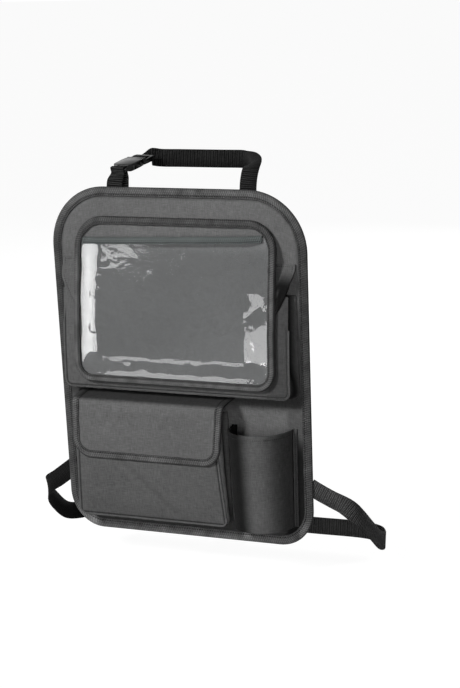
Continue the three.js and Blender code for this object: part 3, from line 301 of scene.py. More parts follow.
def weave_group():
    """Threads that cross over and under. Their height falls to nothing between neighbours."""
    tree, given, made = group_of(
        "Plain weave",
        {"Vector": DIRECTION, "Pitch": NUMBER, "Warp": COLOUR, "Weft": COLOUR, "Gap": COLOUR},
        {"Color": COLOUR, "Height": NUMBER},
    )
    place = new_node(tree, "ShaderNodeSeparateXYZ")
    tree.links.new(given.outputs["Vector"], place.inputs[0])
    turn = maths(tree, "DIVIDE", math.pi, given.outputs["Pitch"])
    waves = [maths(tree, "SINE", maths(tree, "MULTIPLY", place.outputs[axis], turn)) for axis in (0, 1)]
    crossing = maths(tree, "MULTIPLY", *waves)
    height = maths(tree, "SQRT", maths(tree, "ABSOLUTE", crossing))
    over = maths(tree, "MULTIPLY_ADD", crossing, 0.5, 0.5)
    thread = blend(tree, over, given.outputs["Warp"], given.outputs["Weft"])
    warp = slub(tree, given.outputs["Vector"], SLUB_ALONG, SLUB_ACROSS)
    weft = slub(tree, given.outputs["Vector"], SLUB_ACROSS, SLUB_ALONG)
    uneven = maths(tree, "MULTIPLY_ADD", maths(tree, "ADD", warp, weft), SLUB_CONTRAST, 1 - SLUB_CONTRAST)
    thread = blend(tree, SLUB_SHARE, thread, multiplied(tree, thread, uneven))
    tree.links.new(blend(tree, height, given.outputs["Gap"], thread), made.inputs["Color"])
    tree.links.new(height, made.inputs["Height"])
    return tree


weave = weave_group()
print(weave.name, "has", len(weave.nodes), "nodes")

# %% [markdown]
# Tape and webbing are woven in ribs. Each rib leans a little and is cut by finer threads, so this group
# multiplies two waves.

# %% Shader group for ribbed tape and webbing
RIB_SLANT = 0.35
RIB_CUT = 0.45


def rib_group():
    """Ribs across a tape, each cut by finer threads along it."""
    tree, given, made = group_of(
        "Ribbed tape",
        {"Vector": DIRECTION, "Pitch": NUMBER, "Rib": COLOUR, "Groove": COLOUR},
        {"Color": COLOUR, "Height": NUMBER},
    )
    place = new_node(tree, "ShaderNodeSeparateXYZ")
    tree.links.new(given.outputs["Vector"], place.inputs[0])
    turn = maths(tree, "DIVIDE", math.pi, given.outputs["Pitch"])
    slant = maths(tree, "MULTIPLY_ADD", place.outputs[1], RIB_SLANT, place.outputs[0])
    rib = maths(tree, "ABSOLUTE", maths(tree, "SINE", maths(tree, "MULTIPLY", slant, turn)))
    cross = maths(tree, "ABSOLUTE", maths(tree, "SINE", maths(tree, "MULTIPLY", place.outputs[1], turn)))
    height = maths(tree, "MULTIPLY", rib, maths(tree, "MULTIPLY_ADD", cross, RIB_CUT, 1 - RIB_CUT))
    tree.links.new(blend(tree, height, given.outputs["Groove"], given.outputs["Rib"]), made.inputs["Color"])
    tree.links.new(height, made.inputs["Height"])
    return tree


ribs = rib_group()
print(ribs.name, "has", len(ribs.nodes), "nodes")

# %% [markdown]
# Real cloth is never one even colour or quite flat. One group adds clouds of dye and specks, one adds low
# creases, and one darkens or lightens the surface as the piece's own shade attribute asks. Those shades
# are fitted to the photograph's shadows and lit edges. They are no property of the cloth.

# %% Shader groups for uneven dye, small creases and shade
# Each layer of dye has a number of clouds to one cloud size, a detail and a share.
DYE_LAYERS = ((1.0, 4.0, 1.0), (14.0, 2.0, 0.5))
CREASE_DETAIL = 3.0
CREASE_TWIST = 0.6
CREASE_SHARPNESS = 0.7


def dye_group():
    """Cloudy patches and specks that make one cloth lighter here and darker there."""
    tree, given, made = group_of(
        "Uneven dye",
        {"Vector": DIRECTION, "Color": COLOUR, "Cloud size": NUMBER, "Amount": NUMBER},
        {"Color": COLOUR, "Cloud": NUMBER},
    )
    values = []
    for size, detail, share in DYE_LAYERS:
        cloud = new_node(tree, "ShaderNodeTexNoise")
        tree.links.new(given.outputs["Vector"], cloud.inputs["Vector"])
        feed(tree, cloud.inputs["Scale"], maths(tree, "DIVIDE", size, given.outputs["Cloud size"]))
        cloud.inputs["Detail"].default_value = detail
        values.append(maths(tree, "MULTIPLY", maths(tree, "SUBTRACT", cloud.outputs[0], 0.5), share))
    both = maths(tree, "ADD", *values)
    lightness = maths(tree, "MULTIPLY_ADD", both, given.outputs["Amount"], 1.0)
    tree.links.new(multiplied(tree, given.outputs["Color"], lightness), made.inputs["Color"])
    tree.links.new(both, made.inputs["Cloud"])
    return tree


def crease_group():
    """Low, soft creases as they stay in cloth that was folded into a bag."""
    tree, given, made = group_of(
        "Soft creases", {"Vector": DIRECTION, "Size": NUMBER}, {"Height": NUMBER}
    )
    cloud = new_node(tree, "ShaderNodeTexNoise")
    tree.links.new(given.outputs["Vector"], cloud.inputs["Vector"])
    feed(tree, cloud.inputs["Scale"], maths(tree, "DIVIDE", 1.0, given.outputs["Size"]))
    cloud.inputs["Detail"].default_value = CREASE_DETAIL
    cloud.inputs["Distortion"].default_value = CREASE_TWIST
    fold = maths(tree, "ABSOLUTE", maths(tree, "SUBTRACT", cloud.outputs[0], 0.5))
    tree.links.new(maths(tree, "POWER", fold, CREASE_SHARPNESS), made.inputs["Height"])
    return tree


def shade_group():
    """Paints shade by the piece's own shade attribute, as in a groove, or paints light where it is negative.
    """
    tree, given, made = group_of(
        "Painted shade", {"Color": COLOUR, "Depth": NUMBER}, {"Color": COLOUR}
    )
    mark = new_node(tree, "ShaderNodeAttribute", attribute_name="shade")
    darkness = maths(tree, "MULTIPLY", mark.outputs["Fac"], given.outputs["Depth"])
    lightness = maths(tree, "SUBTRACT", 1.0, darkness)
    tree.links.new(multiplied(tree, given.outputs["Color"], lightness), made.inputs["Color"])
    return tree


dye = dye_group()
creases = crease_group()
shading = shade_group()
for group in (dye, creases, shading):
    print(group.name, "has", len(group.nodes), "nodes")

# %% [markdown]
# ## Materials
# Five kinds of finish use these groups: woven cloth, ribbed tape, moulded plastic, clear film, and hook
# and loop tape. Each kind is a function, so a piece only names how light and how coarse its finish is.

# %% Materials
CLOTH_PITCH = 0.0012
CLOTH_UNEVEN = 0.35
CLOTH_SHADE_DEPTH = 0.85
CREASE_SIZE = 0.06
CREASE_HEIGHT = 0.0024
THREAD_HEIGHT = 0.00025
TAPE_PITCH = 0.0030
TAPE_SHADE_DEPTH = 0.8
WEBBING_PITCH = 0.0017
THREAD_PITCH = 0.0006
MOULDED_GREY = 0.009
MOULDED_ROUGHNESS = 0.12
MOULDED_CLOUD = 0.006


def placed(tree, group, **values):
    made = new_node(tree, "ShaderNodeGroup", node_tree=group)
    for name, value in values.items():
        feed(tree, made.inputs[name.replace("_", " ")], value)
    return made


def bump(tree, height, distance, strength=1.0, below=None):
    made = new_node(tree, "ShaderNodeBump")
    made.inputs["Strength"].default_value = strength
    made.inputs["Distance"].default_value = distance
    tree.links.new(height, made.inputs["Height"])
    if below is not None:
        tree.links.new(below, made.inputs["Normal"])
    return made.outputs["Normal"]


def new_material(name, **settings):
    """A material with its Principled shader's own sockets set, and its texture coordinates."""
    material = bpy.data.materials.new(name)
    material.use_nodes = True
    tree = material.node_tree
    shader = tree.nodes["Principled BSDF"]
    for label, value in settings.items():
        shader.inputs[label.replace("_", " ")].default_value = value
    return material, tree, shader, new_node(tree, "ShaderNodeTexCoord")


def grey(level, warmth=0.0):
    return (level * (1 + warmth), level, level * (1 - warmth), 1)


def woven(name, level):
    material, tree, shader, where = new_material(
        name, Roughness=0.92, Specular_IOR_Level=0.04, Sheen_Weight=0.02, Sheen_Roughness=0.4
    )
    cloth = placed(
        tree, weave, Vector=where.outputs["UV"], Pitch=CLOTH_PITCH,
        Warp=grey(level * 1.18), Weft=grey(level), Gap=grey(level * 0.5),
    )
    dyed = placed(
        tree, dye, Vector=where.outputs["Object"], Color=cloth.outputs["Color"],
        Cloud_size=0.09, Amount=CLOTH_UNEVEN,
    )
    folds = placed(tree, creases, Vector=where.outputs["Object"], Size=CREASE_SIZE)
    soft = bump(tree, folds.outputs["Height"], CREASE_HEIGHT)
    with_painted_shade = placed(tree, shading, Color=dyed.outputs["Color"], Depth=CLOTH_SHADE_DEPTH)
    tree.links.new(with_painted_shade.outputs["Color"], shader.inputs["Base Color"])
    tree.links.new(bump(tree, cloth.outputs["Height"], THREAD_HEIGHT, 0.8, soft), shader.inputs["Normal"])
    return material


def ribbed(
    name, level, pitch, uneven=0.5, tint=(1, 1, 1), roughness=0.8, depth=0.0003, cloud=0.03, gloss=0.14
):
    material, tree, shader, where = new_material(name, Roughness=roughness, Specular_IOR_Level=gloss)
    high = tuple(level * 1.35 * part for part in tint) + (1,)
    low = tuple(level * 0.4 * part for part in tint) + (1,)
    tape = placed(tree, ribs, Vector=where.outputs["UV"], Pitch=pitch, Rib=high, Groove=low)
    dyed = placed(
        tree, dye, Vector=where.outputs["Object"], Color=tape.outputs["Color"],
        Cloud_size=cloud, Amount=uneven,
    )
    with_painted_shade = placed(tree, shading, Color=dyed.outputs["Color"], Depth=TAPE_SHADE_DEPTH)
    tree.links.new(with_painted_shade.outputs["Color"], shader.inputs["Base Color"])
    tree.links.new(bump(tree, tape.outputs["Height"], depth), shader.inputs["Normal"])
    return material


def moulded(name):
    material, tree, shader, where = new_material(
        name, Base_Color=grey(MOULDED_GREY), Roughness=MOULDED_ROUGHNESS, Specular_IOR_Level=0.13
    )
    dyed = placed(
        tree, dye, Vector=where.outputs["Object"], Color=grey(MOULDED_GREY), Cloud_size=MOULDED_CLOUD,
        Amount=0.5,
    )
    tree.links.new(dyed.outputs["Color"], shader.inputs["Base Color"])
    rough = maths(tree, "MULTIPLY_ADD", dyed.outputs["Cloud"], 0.2, MOULDED_ROUGHNESS)
    tree.links.new(rough, shader.inputs["Roughness"])
    tree.links.new(bump(tree, dyed.outputs["Cloud"], 0.0001, 0.3), shader.inputs["Normal"])
    return material


def clear_film(name):
    """Soft vinyl. Lamps reach the cloth behind it, because its shadow rays pass."""
    material, tree, shader, where = new_material(
        name, Base_Color=(0.93, 0.95, 0.96, 1), Roughness=0.07, IOR=1.42, Transmission_Weight=1.0
    )
    folds = placed(tree, creases, Vector=where.outputs["Object"], Size=0.08)
    tree.links.new(bump(tree, folds.outputs["Height"], 0.002, 0.4), shader.inputs["Normal"])
    clear = new_node(tree, "ShaderNodeBsdfTransparent")
    mixed = new_node(tree, "ShaderNodeMixShader")
    path = new_node(tree, "ShaderNodeLightPath")
    tree.links.new(path.outputs["Is Shadow Ray"], mixed.inputs["Fac"])
    tree.links.new(shader.outputs[0], mixed.inputs[1])
    tree.links.new(clear.outputs[0], mixed.inputs[2])
    tree.links.new(mixed.outputs[0], tree.nodes["Material Output"].inputs["Surface"])
    return material


def looped(name):
    """Hook and loop tape: a short, dense, black pile."""
    material, tree, shader, where = new_material(name, Roughness=0.95, Sheen_Weight=0.4)
    pile = new_node(tree, "ShaderNodeTexVoronoi")
    tree.links.new(where.outputs["Object"], pile.inputs["Vector"])
    pile.inputs["Scale"].default_value = 900
    shade = blend(tree, pile.outputs["Distance"], grey(0.03), grey(0.008))
    tree.links.new(shade, shader.inputs["Base Color"])
    tree.links.new(bump(tree, pile.outputs["Distance"], 0.0005), shader.inputs["Normal"])
    return material


PANEL_CLOTH = woven("panel cloth", 0.166)
# A darker copy of the panel's cloth: painted shade for the pockets.
SHADED_POCKET_CLOTH = woven("pocket cloth in painted shade", 0.137)
BINDING_TAPE = ribbed("binding tape", 0.102, TAPE_PITCH, uneven=1.7, depth=0.0005, cloud=0.018)
WINDOW_TAPE = ribbed("window tape", 0.098, TAPE_PITCH, tint=(0.92, 1.03, 1.02))
WEBBING = ribbed("webbing", 0.032, WEBBING_PITCH, uneven=0.6, roughness=0.65, gloss=0.03)
CLOSING_TAPE = looped("hook and loop tape")
THREAD = ribbed("thread", 0.022, THREAD_PITCH, roughness=0.6)
BLACK_THREAD = ribbed("black thread", 0.02, THREAD_PITCH, roughness=0.6)
PLASTIC = moulded("buckle plastic")
FILM = clear_film("clear film")
print("Materials:", ", ".join(material.name for material in bpy.data.materials))

# %% [markdown]
# ## Helpers for cloth
# Every cloth piece is a grid of points on the middle of the cloth. The grid is first shaped, then
# creased a little with smooth noise, and then given its thickness and a UV map in metres.
# Tape is made the same way round: one section is carried along a path.


# %% Helpers for cloth
def ramp(x, start, end):
    t = np.clip((np.asarray(x, float) - start) / (end - start), 0, 1)
    return t * t * (3 - 2 * t)


def mix(first, second, share):
    return first + (second - first) * share


def wander(points, size, seed):
    """Smooth noise from about -1 to 1 that changes over so many millimetres."""
    shift = Vector((seed * 17.3, seed * 5.1, seed * 9.7))
    flat = np.asarray(points, float).reshape(-1, 3)
    values = [noise.noise(Vector(p) / size + shift) for p in flat]
    return np.array(values).reshape(np.shape(points)[:-1])


def unit(vectors):
    size = np.linalg.norm(vectors, axis=-1, keepdims=True)
    return vectors / np.maximum(size, 1e-9)


def grid_normals(grid):
    down = np.gradient(grid, axis=0)
    across = np.gradient(grid, axis=1)
    return unit(np.cross(across, down))


def creased(grid, depth, size, seed, mask=1.0):
    """The same grid with low creases, along its normals."""
    push = wander(grid, size, seed) * depth * mask
    return grid + grid_normals(grid) * push[..., None]


def run_length(path):
    """Distance along a path of points, from its first point to each of them."""
    return np.concatenate([[0], np.cumsum(np.linalg.norm(np.diff(path, axis=0), axis=1))])


def set_shade(mesh, shade):
    attribute = mesh.attributes.new("shade", "FLOAT", "POINT")
    values = np.zeros(len(mesh.vertices), np.float32)
    values[:np.size(shade)] = np.ravel(shade)
    attribute.data.foreach_set("value", values)


def new_piece(name, points, quads, corners_uv, shade, material, node, caps=()):
    """A mesh in metres from points in millimetres, with a UV for each corner of each four-sided face.
    The caps are flat triangles that close open ends. The faces are turned to look outwards."""
    caps = np.reshape(caps, (-1, 3)).astype(int)
    a, b, c, d = (points[quads[:, k]] for k in range(4))
    volume = (a * np.cross(b, c)).sum() + (a * np.cross(c, d)).sum()
    a, b, c = (points[caps[:, k]] for k in range(3))
    volume += (a * np.cross(b, c)).sum()
    if volume < 0:
        quads, caps, corners_uv = quads[:, ::-1], caps[:, ::-1], corners_uv[:, ::-1]
    mesh = bpy.data.meshes.new(name)
    mesh.from_pydata((points * MM).tolist(), [], quads.tolist() + caps.tolist())
    layer = mesh.uv_layers.new(name="cloth")
    flat = np.concatenate([corners_uv.reshape(-1, 2), np.zeros((caps.size, 2))])
    layer.data.foreach_set("uv", flat.astype(np.float32).ravel())
    mesh.polygons.foreach_set("use_smooth", np.arange(len(mesh.polygons)) < len(quads))
    set_shade(mesh, shade)
    mesh.materials.append(material)
    piece = bpy.data.objects.new(name, mesh)
    bpy.context.scene.collection.objects.link(piece)
    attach(piece, "root")
    if node:
        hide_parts(node)
    return piece


def show_faces(*pieces):
    for piece in pieces:
        print(piece.name, "has", len(piece.data.polygons), "faces")


GROOVE_AT = 2.6
GROOVE_WIDTH = 1.1
GROOVE_DEPTH = 0.6


def seam_line(inside):
    """1 in the groove beside a turned seam and 0 away from it."""
    return np.exp(-((np.asarray(inside) - GROOVE_AT) / GROOVE_WIDTH) ** 2)


def lengths_along(grid, axis):
    step = np.linalg.norm(np.diff(grid, axis=axis), axis=-1)
    start = np.zeros_like(np.take(step, [0], axis=axis))
    return np.concatenate([start, np.cumsum(step, axis=axis)], axis=axis) * MM


def slab(name, grid, thickness, material, node, shade=0.0):
    """A closed sheet of that thickness about a grid of points on its middle surface.
    A shade with two layers gives the front face the first and the rear face the second."""
    rows, columns = grid.shape[:2]
    thickness = np.broadcast_to(thickness, (rows, columns))
    push = grid_normals(grid) * (thickness / 2)[..., None]
    points = np.concatenate([(grid + push).reshape(-1, 3), (grid - push).reshape(-1, 3)])
    number = np.arange(rows * columns).reshape(rows, columns)
    far = number + rows * columns
    u = lengths_along(grid, 1)
    u = u - u[:, [columns // 2]]
    v = lengths_along(grid, 0)
    uv = np.stack([u, v], axis=-1).reshape(-1, 2)
    uv = np.concatenate([uv, uv])

    def quads(a, b, c, d):
        return np.stack([a.ravel(), b.ravel(), c.ravel(), d.ravel()], axis=1)

    faces = np.concatenate([
        quads(number[:-1, :-1], number[:-1, 1:], number[1:, 1:], number[1:, :-1]),
        quads(far[:-1, :-1], far[1:, :-1], far[1:, 1:], far[:-1, 1:]),
        quads(number[:-1, 0], number[1:, 0], far[1:, 0], far[:-1, 0]),
        quads(number[:-1, -1], far[:-1, -1], far[1:, -1], number[1:, -1]),
        quads(number[0, :-1], far[0, :-1], far[0, 1:], number[0, 1:]),
        quads(number[-1, :-1], number[-1, 1:], far[-1, 1:], far[-1, :-1]),
    ])
    shade = np.broadcast_to(shade, (2, rows, columns))
    return new_piece(name, points, faces, uv[faces], shade, material, node)


def sweep(name, loops, ring, material, node, shade=0.0):
    """A section carried along a path. Each loop is the closed section at one station."""
    stations, count = loops.shape[:2]
    middle = loops.mean(axis=1)
    if ring:
        middle = np.concatenate([middle, middle[:1]])
    along = run_length(middle) * MM
    around = run_length(np.concatenate([loops[0], loops[0][:1]])) * MM
    total = stations if ring else stations - 1
    i = np.repeat(np.arange(total), count)
    k = np.tile(np.arange(count), total)
    j = (i + 1) % stations
    m = (k + 1) % count
    faces = np.stack([i * count + k, i * count + m, j * count + m, j * count + k], axis=1)
    uv = np.stack([
        np.stack([along[i], around[k]], axis=-1),
        np.stack([along[i], around[k + 1]], axis=-1),
        np.stack([along[i + 1], around[k + 1]], axis=-1),
        np.stack([along[i + 1], around[k]], axis=-1),
    ], axis=1)
    points, caps = loops.reshape(-1, 3), ()
    if not ring:
        points = np.concatenate([points, loops[[0, -1]].mean(axis=1)])
        centre = np.full(count, stations * count)
        k = np.arange(count)
        m = (k + 1) % count
        last = (stations - 1) * count
        caps = np.concatenate([
            np.stack([m, k, centre], axis=1),
            np.stack([last + k, last + m, centre + 1], axis=1),
        ])
    shade = np.broadcast_to(shade, (stations, count))
    return new_piece(name, points, faces, uv, shade, material, node, caps)


print("Halfway up a ramp from 0 to 10 mm it is", round(float(ramp(5, 0, 10)), 2))

# %% [markdown]
# ## Outlines
# Panel, tablet pocket and flaps are rectangles with round corners. A frame keeps the four sides and two
# corner radii, and three helpers read it: points round it, the span of one row, and the distance inwards.

# %% Outlines
ARC_STEPS = 22


def make_frame(left, right, bottom, top, corner_bottom, corner_top):
    return {
        "left": left, "right": right, "bottom": bottom, "top": top,
        "corner_bottom": corner_bottom, "corner_top": corner_top,
    }


def outline(shape, inset, step=3.0):
    """Points round the outline, anticlockwise from the lower left, moved in by an inset."""
    corners = [
        (shape["left"], shape["bottom"], shape["corner_bottom"], 180, 1, 1),
        (shape["right"], shape["bottom"], shape["corner_bottom"], 270, -1, 1),
        (shape["right"], shape["top"], shape["corner_top"], 0, -1, -1),
        (shape["left"], shape["top"], shape["corner_top"], 90, 1, -1),
    ]
    runs = []
    for x, z, corner, start, in_x, in_z in corners:
        angle = np.radians(start + 90 * np.linspace(0, 1, ARC_STEPS + 1))
        radius = corner - inset
        runs.append(np.stack([
            x + in_x * corner + radius * np.cos(angle),
            z + in_z * corner + radius * np.sin(angle),
        ], axis=1))
    width = shape["right"] - shape["left"]
    height = shape["top"] - shape["bottom"]
    points = []
    for run, following, side in zip(runs, runs[1:] + runs[:1], (width, height, width, height)):
        count = int(side / step)
        t = np.linspace(0, 1, count + 1)[1:-1, None]
        points += [run, mix(run[-1], following[0], t)]
    return np.concatenate(points)


def row_span(shape, inset, z):
    """Left and right ends of the outline's row at one height."""
    into = max(shape["bottom"] + shape["corner_bottom"] - z, 0)
    over = max(z - (shape["top"] - shape["corner_top"]), 0)
    corner = shape["corner_bottom"] if into > 0 else shape["corner_top"]
    rise = max(into, over)
    radius = corner - inset
    cut = corner - math.sqrt(max(radius * radius - rise * rise, 0)) if rise > 0 else inset
    return shape["left"] + cut, shape["right"] - cut


def depth_inside(shape, x, z):
    """How far inside the outline a point lies."""
    middle_x = (shape["left"] + shape["right"]) / 2
    middle_z = (shape["bottom"] + shape["top"]) / 2
    corner = np.where(z > middle_z, shape["corner_top"], shape["corner_bottom"])
    out_x = np.abs(x - middle_x) - ((shape["right"] - shape["left"]) / 2 - corner)
    out_z = np.abs(z - middle_z) - ((shape["top"] - shape["bottom"]) / 2 - corner)
    round_part = np.hypot(np.maximum(out_x, 0), np.maximum(out_z, 0))
    return corner - round_part - np.minimum(np.maximum(out_x, out_z), 0)


NEAR_EDGE = np.array([0, 0.8, 1.6, 2.4, 3.4, 4.8, 6.8])


def rows_between(bottom, top, step):
    """Heights from bottom to top, closer together near both ends."""
    margin = NEAR_EDGE[-1] + 2
    count = max(int((top - bottom - 2 * margin) / step), 2)
    inner = np.linspace(bottom + margin, top - margin, count)
    return np.concatenate([bottom + NEAR_EDGE, inner, (top - NEAR_EDGE)[::-1]])


def outline_grid(shape, inset, step):
    """Flat grid inside the outline: places across and heights, row by row from the bottom."""
    heights = rows_between(shape["bottom"] + inset, shape["top"] - inset, step)
    share = rows_between(0, shape["right"] - shape["left"], step) / (shape["right"] - shape["left"])
    x = []
    for z in heights:
        left, right = row_span(shape, inset, z)
        x.append(mix(left, right, share))
    return np.array(x), np.repeat(heights[:, None], len(share), axis=1)


def tape_section(width, rear, front, leg, fold, puff):
    """Section of a folded tape as pairs of inset and depth, out round the fold and back inside."""
    half = (front - rear) / 2
    middle = (front + rear) / 2
    turn = np.radians(np.linspace(-90, 90, 7))
    bend = min(half, 1.8)
    arc = [(bend - bend * math.cos(a), middle + half * math.sin(a)) for a in turn]
    face = [
        (width * 0.3, front + puff), (width * 0.55, front + puff * 0.95),
        (width * 0.7, front + puff * 0.5), (width * 0.78, front - leg * 0.4),
        (width * 0.83, front - leg * 0.3), (width * 0.9, front + puff * 0.3),
        (width, front + puff * 0.05),
    ]
    inside = [(width, front - leg), (fold, front - leg), (fold, rear + leg), (width, rear + leg)]
    return np.array([(width, rear), (width * 0.5, rear)] + arc + face + inside)


# Painted shade at each point of the tape's section: darker round the fold, at the row of thread and inside.
SECTION_SHADE = np.array([0, 0, 0, 0, 0.2, 0.5, 0.8, 0.7, 0.4, 0, 0, 0.2, 0.6, 0.5, 0.25, 0.7, 1, 1, 1, 1])
print("An outline of 100 by 60 mm has", len(outline(make_frame(0, 100, 0, 60, 10, 10), 0)), "points")

# %% [markdown]
# ## Back panel
# The panel is thin foam between two layers of cloth. Its rim is pressed flat under the binding, and the
# padding rises over the next few centimetres, with small puckers that the seam draws into it.

# %% Back panel
PANEL_WIDTH_TOP = 394
PANEL_WIDTH_BOTTOM = 380
PANEL_CORNER_TOP = 85
PANEL_CORNER_BOTTOM = 52
PANEL_THICKNESS = 3.0
PANEL_RIM = 1.2
PANEL_PADDING = 1.1
BINDING_WIDTH = 13
BINDING_LEG = 0.9
BINDING_FOLD = 1.2
BINDING_PUFF = 0.6
SEAM_GAP = 0.3
CLOTH = 1.4
RIM_REAR = 0.9
PUCKER = 0.45
WRINKLE = 0.9
SEAM_SHADE = 0.55
SLEEVE_SHADE = 1.05
POCKET_SHADE = 0.4
UNDER_POCKETS_SHADE = 0.6
UNDER_WIDE_SHADE = 0.75
SIDE_TAPE_SHADE = 0.8
LIT_BOTTOM_TAPE = 1.3
PANEL_FRONT = -PANEL_THICKNESS

binding_low, binding_high = span("panel_binding")
PANEL_HEIGHT = binding_high[2] - binding_low[2]
PANEL_MEAN = (PANEL_WIDTH_TOP + PANEL_WIDTH_BOTTOM) / 2
panel_shape = make_frame(
    -PANEL_MEAN / 2, PANEL_MEAN / 2, binding_low[2], binding_high[2], PANEL_CORNER_BOTTOM, PANEL_CORNER_TOP
)


def panel_x(x, z):
    """The panel narrows a little towards its bottom."""
    return x * mix(PANEL_WIDTH_BOTTOM, PANEL_WIDTH_TOP, (z - binding_low[2]) / PANEL_HEIGHT) / PANEL_MEAN


def panel_point(points, y):
    x, z = points[..., 0], points[..., 1]
    return np.stack([panel_x(x, z), np.broadcast_to(y, x.shape), z], axis=-1)


def back_panel():
    x, z = outline_grid(panel_shape, BINDING_FOLD + SEAM_GAP, 3.6)
    inside = depth_inside(panel_shape, x, z)
    rise = ramp(inside, BINDING_WIDTH - 1, BINDING_WIDTH + 5)
    free = np.maximum(ramp(z, 150, 185), ramp(np.abs(x), 178, 184) * 0.4)
    padding = PANEL_PADDING * free * ramp(inside, BINDING_WIDTH, BINDING_WIDTH + 22)
    flat = np.stack([x, np.zeros_like(x), z], axis=-1)
    pucker = wander(flat, 13, 3) * PUCKER * ramp(inside, 12, 15) * (1 - ramp(inside, 18, 40))
    wrinkle = wander(flat * [0.5, 1, 1.6], 16, 5) * WRINKLE * ramp(x, 160, 172) * (1 - ramp(z, 40, 90))
    front = -mix(RIM_REAR + PANEL_RIM, PANEL_THICKNESS, rise) - padding + pucker - np.abs(wrinkle) * rise
    rear = -mix(RIM_REAR, 0, rise)
    grid = panel_point(np.stack([x, z], axis=-1), (front + rear) / 2)
    near_seam = SEAM_SHADE * (1 - ramp(inside, BINDING_WIDTH, BINDING_WIDTH + 2.5))
    in_front = np.max([
        near_seam,
        SLEEVE_SHADE * ramp(x, 146, 154) * (1 - ramp(z, -120, -70)),
        POCKET_SHADE * ramp(np.abs(x + 4), 158, 166) * (1 - ramp(z, 60, 100)),
        POCKET_SHADE * ramp(-x, 148, 162) * (1 - ramp(z, 110, 165)),
        UNDER_POCKETS_SHADE * (1 - ramp(z, -218, -208)),
        UNDER_WIDE_SHADE * ramp(z, -62, -44) * (1 - ramp(z, -36, -30)),
    ], axis=0)
    shade = np.stack([in_front, near_seam])
    piece = slab("panel", grid, (rear - front), PANEL_CLOTH, "back_panel", shade)
    return piece


def tape_loops(shape, section, place, seed, step=3.0):
    """Stations of a folded tape round an outline. Its inner edge wavers and its puff comes and goes."""
    loops = []
    base = outline(shape, 0, step)
    flat = np.stack([base[:, 0], np.zeros(len(base)), base[:, 1]], axis=1)
    waver = wander(flat, 9, seed) * 0.5
    puff = 1 + wander(flat, 6, seed + 1) * 0.9
    width = section[:, 0].max()
    for inset, depth in section:
        share = inset / width
        line = outline(shape, inset, step)
        loops.append(place(line, depth, share * waver, puff))
    return np.stack(loops, axis=1)


def panel_binding():
    section = tape_section(BINDING_WIDTH, 0, PANEL_THICKNESS, BINDING_LEG, BINDING_FOLD, 0)

    def place(line, depth, waver, puff):
        toward = unit(-line) * waver[:, None]
        raised = BINDING_PUFF * puff * (depth >= PANEL_THICKNESS - 0.01)
        return panel_point(line + toward, -(depth + raised * 0.8))

    loops = tape_loops(panel_shape, section, place, 11)
    at_sides = ramp(np.abs(loops[:, :1, 0]), 168, 186) * ramp(loops[:, :1, 2], -235, -190)
    at_bottom = 1 - ramp(loops[:, :1, 2], -235, -205)
    shade = np.maximum(SECTION_SHADE, SIDE_TAPE_SHADE * at_sides) - LIT_BOTTOM_TAPE * at_bottom
    return sweep("panel_edge_tape", loops, True, BINDING_TAPE, "panel_binding", shade)


show_faces(back_panel(), panel_binding())

# %% [markdown]
# ## Wide pocket
# Behind the tablet pocket is a wide pocket. Its front stands off the panel on a gusset whose sides fold
# in like bellows, and a turned seam shows as a thin welt round its bottom and sides.

# %% Wide pocket
SEAM_FLANGE = 2
EDGE_ROOM = 0.5
WIDE_DEPTH = 25
WIDE_CORNER = 10
WIDE_SPLAY = 5
WIDE_SEAT_DROP = 2.5
WIDE_FOLD = 8
WELT_RADIUS = 1.3
WIDE_RIGHT_SHADE = 0.5
IN_FOLD_SHADE = 1.1

wide_low, wide_high = span("wide_pocket_front")
tablet_low, tablet_high = span("tablet_pocket_binding")
flap_low, flap_high = span("wide_pocket_flap")
wide_half = wide_high[0]
wide_shape = make_frame(wide_low[0], wide_high[0], wide_low[2], wide_high[2], WIDE_CORNER, SEAM_FLANGE)


def carrier(z):
    """The pocket's front, and everything on it, leans out towards the bottom."""
    fall = np.clip((tablet_high[2] - z) / (tablet_high[2] - wide_low[2]), 0, 1)
    return PANEL_FRONT - WIDE_DEPTH * np.sin(math.pi / 2 * fall)


def wide_pocket_front():
    x, z = outline_grid(wide_shape, 0, 4.0)
    grid = np.stack([x, carrier(z) + CLOTH / 2, z], axis=-1)
    grid = creased(grid, 0.5, 30, 21)
    seam = seam_line(depth_inside(wide_shape, x, z)) * (1 - ramp(z, 60, 80))
    grid[..., 1] += GROOVE_DEPTH * seam
    shade = np.maximum(seam, WIDE_RIGHT_SHADE * ramp(x, 132, 146))
    return slab("wide_pocket_panel", grid, CLOTH, SHADED_POCKET_CLOTH, "wide_pocket_front", shade)


def pocket_path(left, right, bottom, corner, stops, inset=0.0, step=3.0):
    """Down the left side, along the bottom and up the right side, with round lower corners."""
    level = bottom + corner
    radius = corner - inset
    down = np.array([(left(z) + inset, z) for z in stops])
    up = np.array([(right(z) - inset, z) for z in stops[::-1]])
    turn = np.radians(90 * np.linspace(0, 1, ARC_STEPS // 2 + 1))
    first = np.stack([
        left(level) + corner - radius * np.cos(turn), level - radius * np.sin(turn)], axis=1)
    second = np.stack([
        right(level) - corner + radius * np.sin(turn), level - radius * np.cos(turn)], axis=1)
    count = max(int((second[0][0] - first[-1][0]) / step), 2)
    if inset > 0:
        count = max(int((right(level) - left(level) - 2 * corner) / step), 2)
    run = mix(first[-1], second[0], np.linspace(0, 1, count + 1)[1:-1, None])
    return np.concatenate([down, first, run, second, up])


def fitted(path, like):
    """The path again with as many points as another, evenly spaced in its own length."""
    length = run_length(path)
    wanted = run_length(like)
    wanted = wanted / wanted[-1] * length[-1]
    return np.stack([np.interp(wanted, length, path[:, k]) for k in range(path.shape[1])], axis=1)


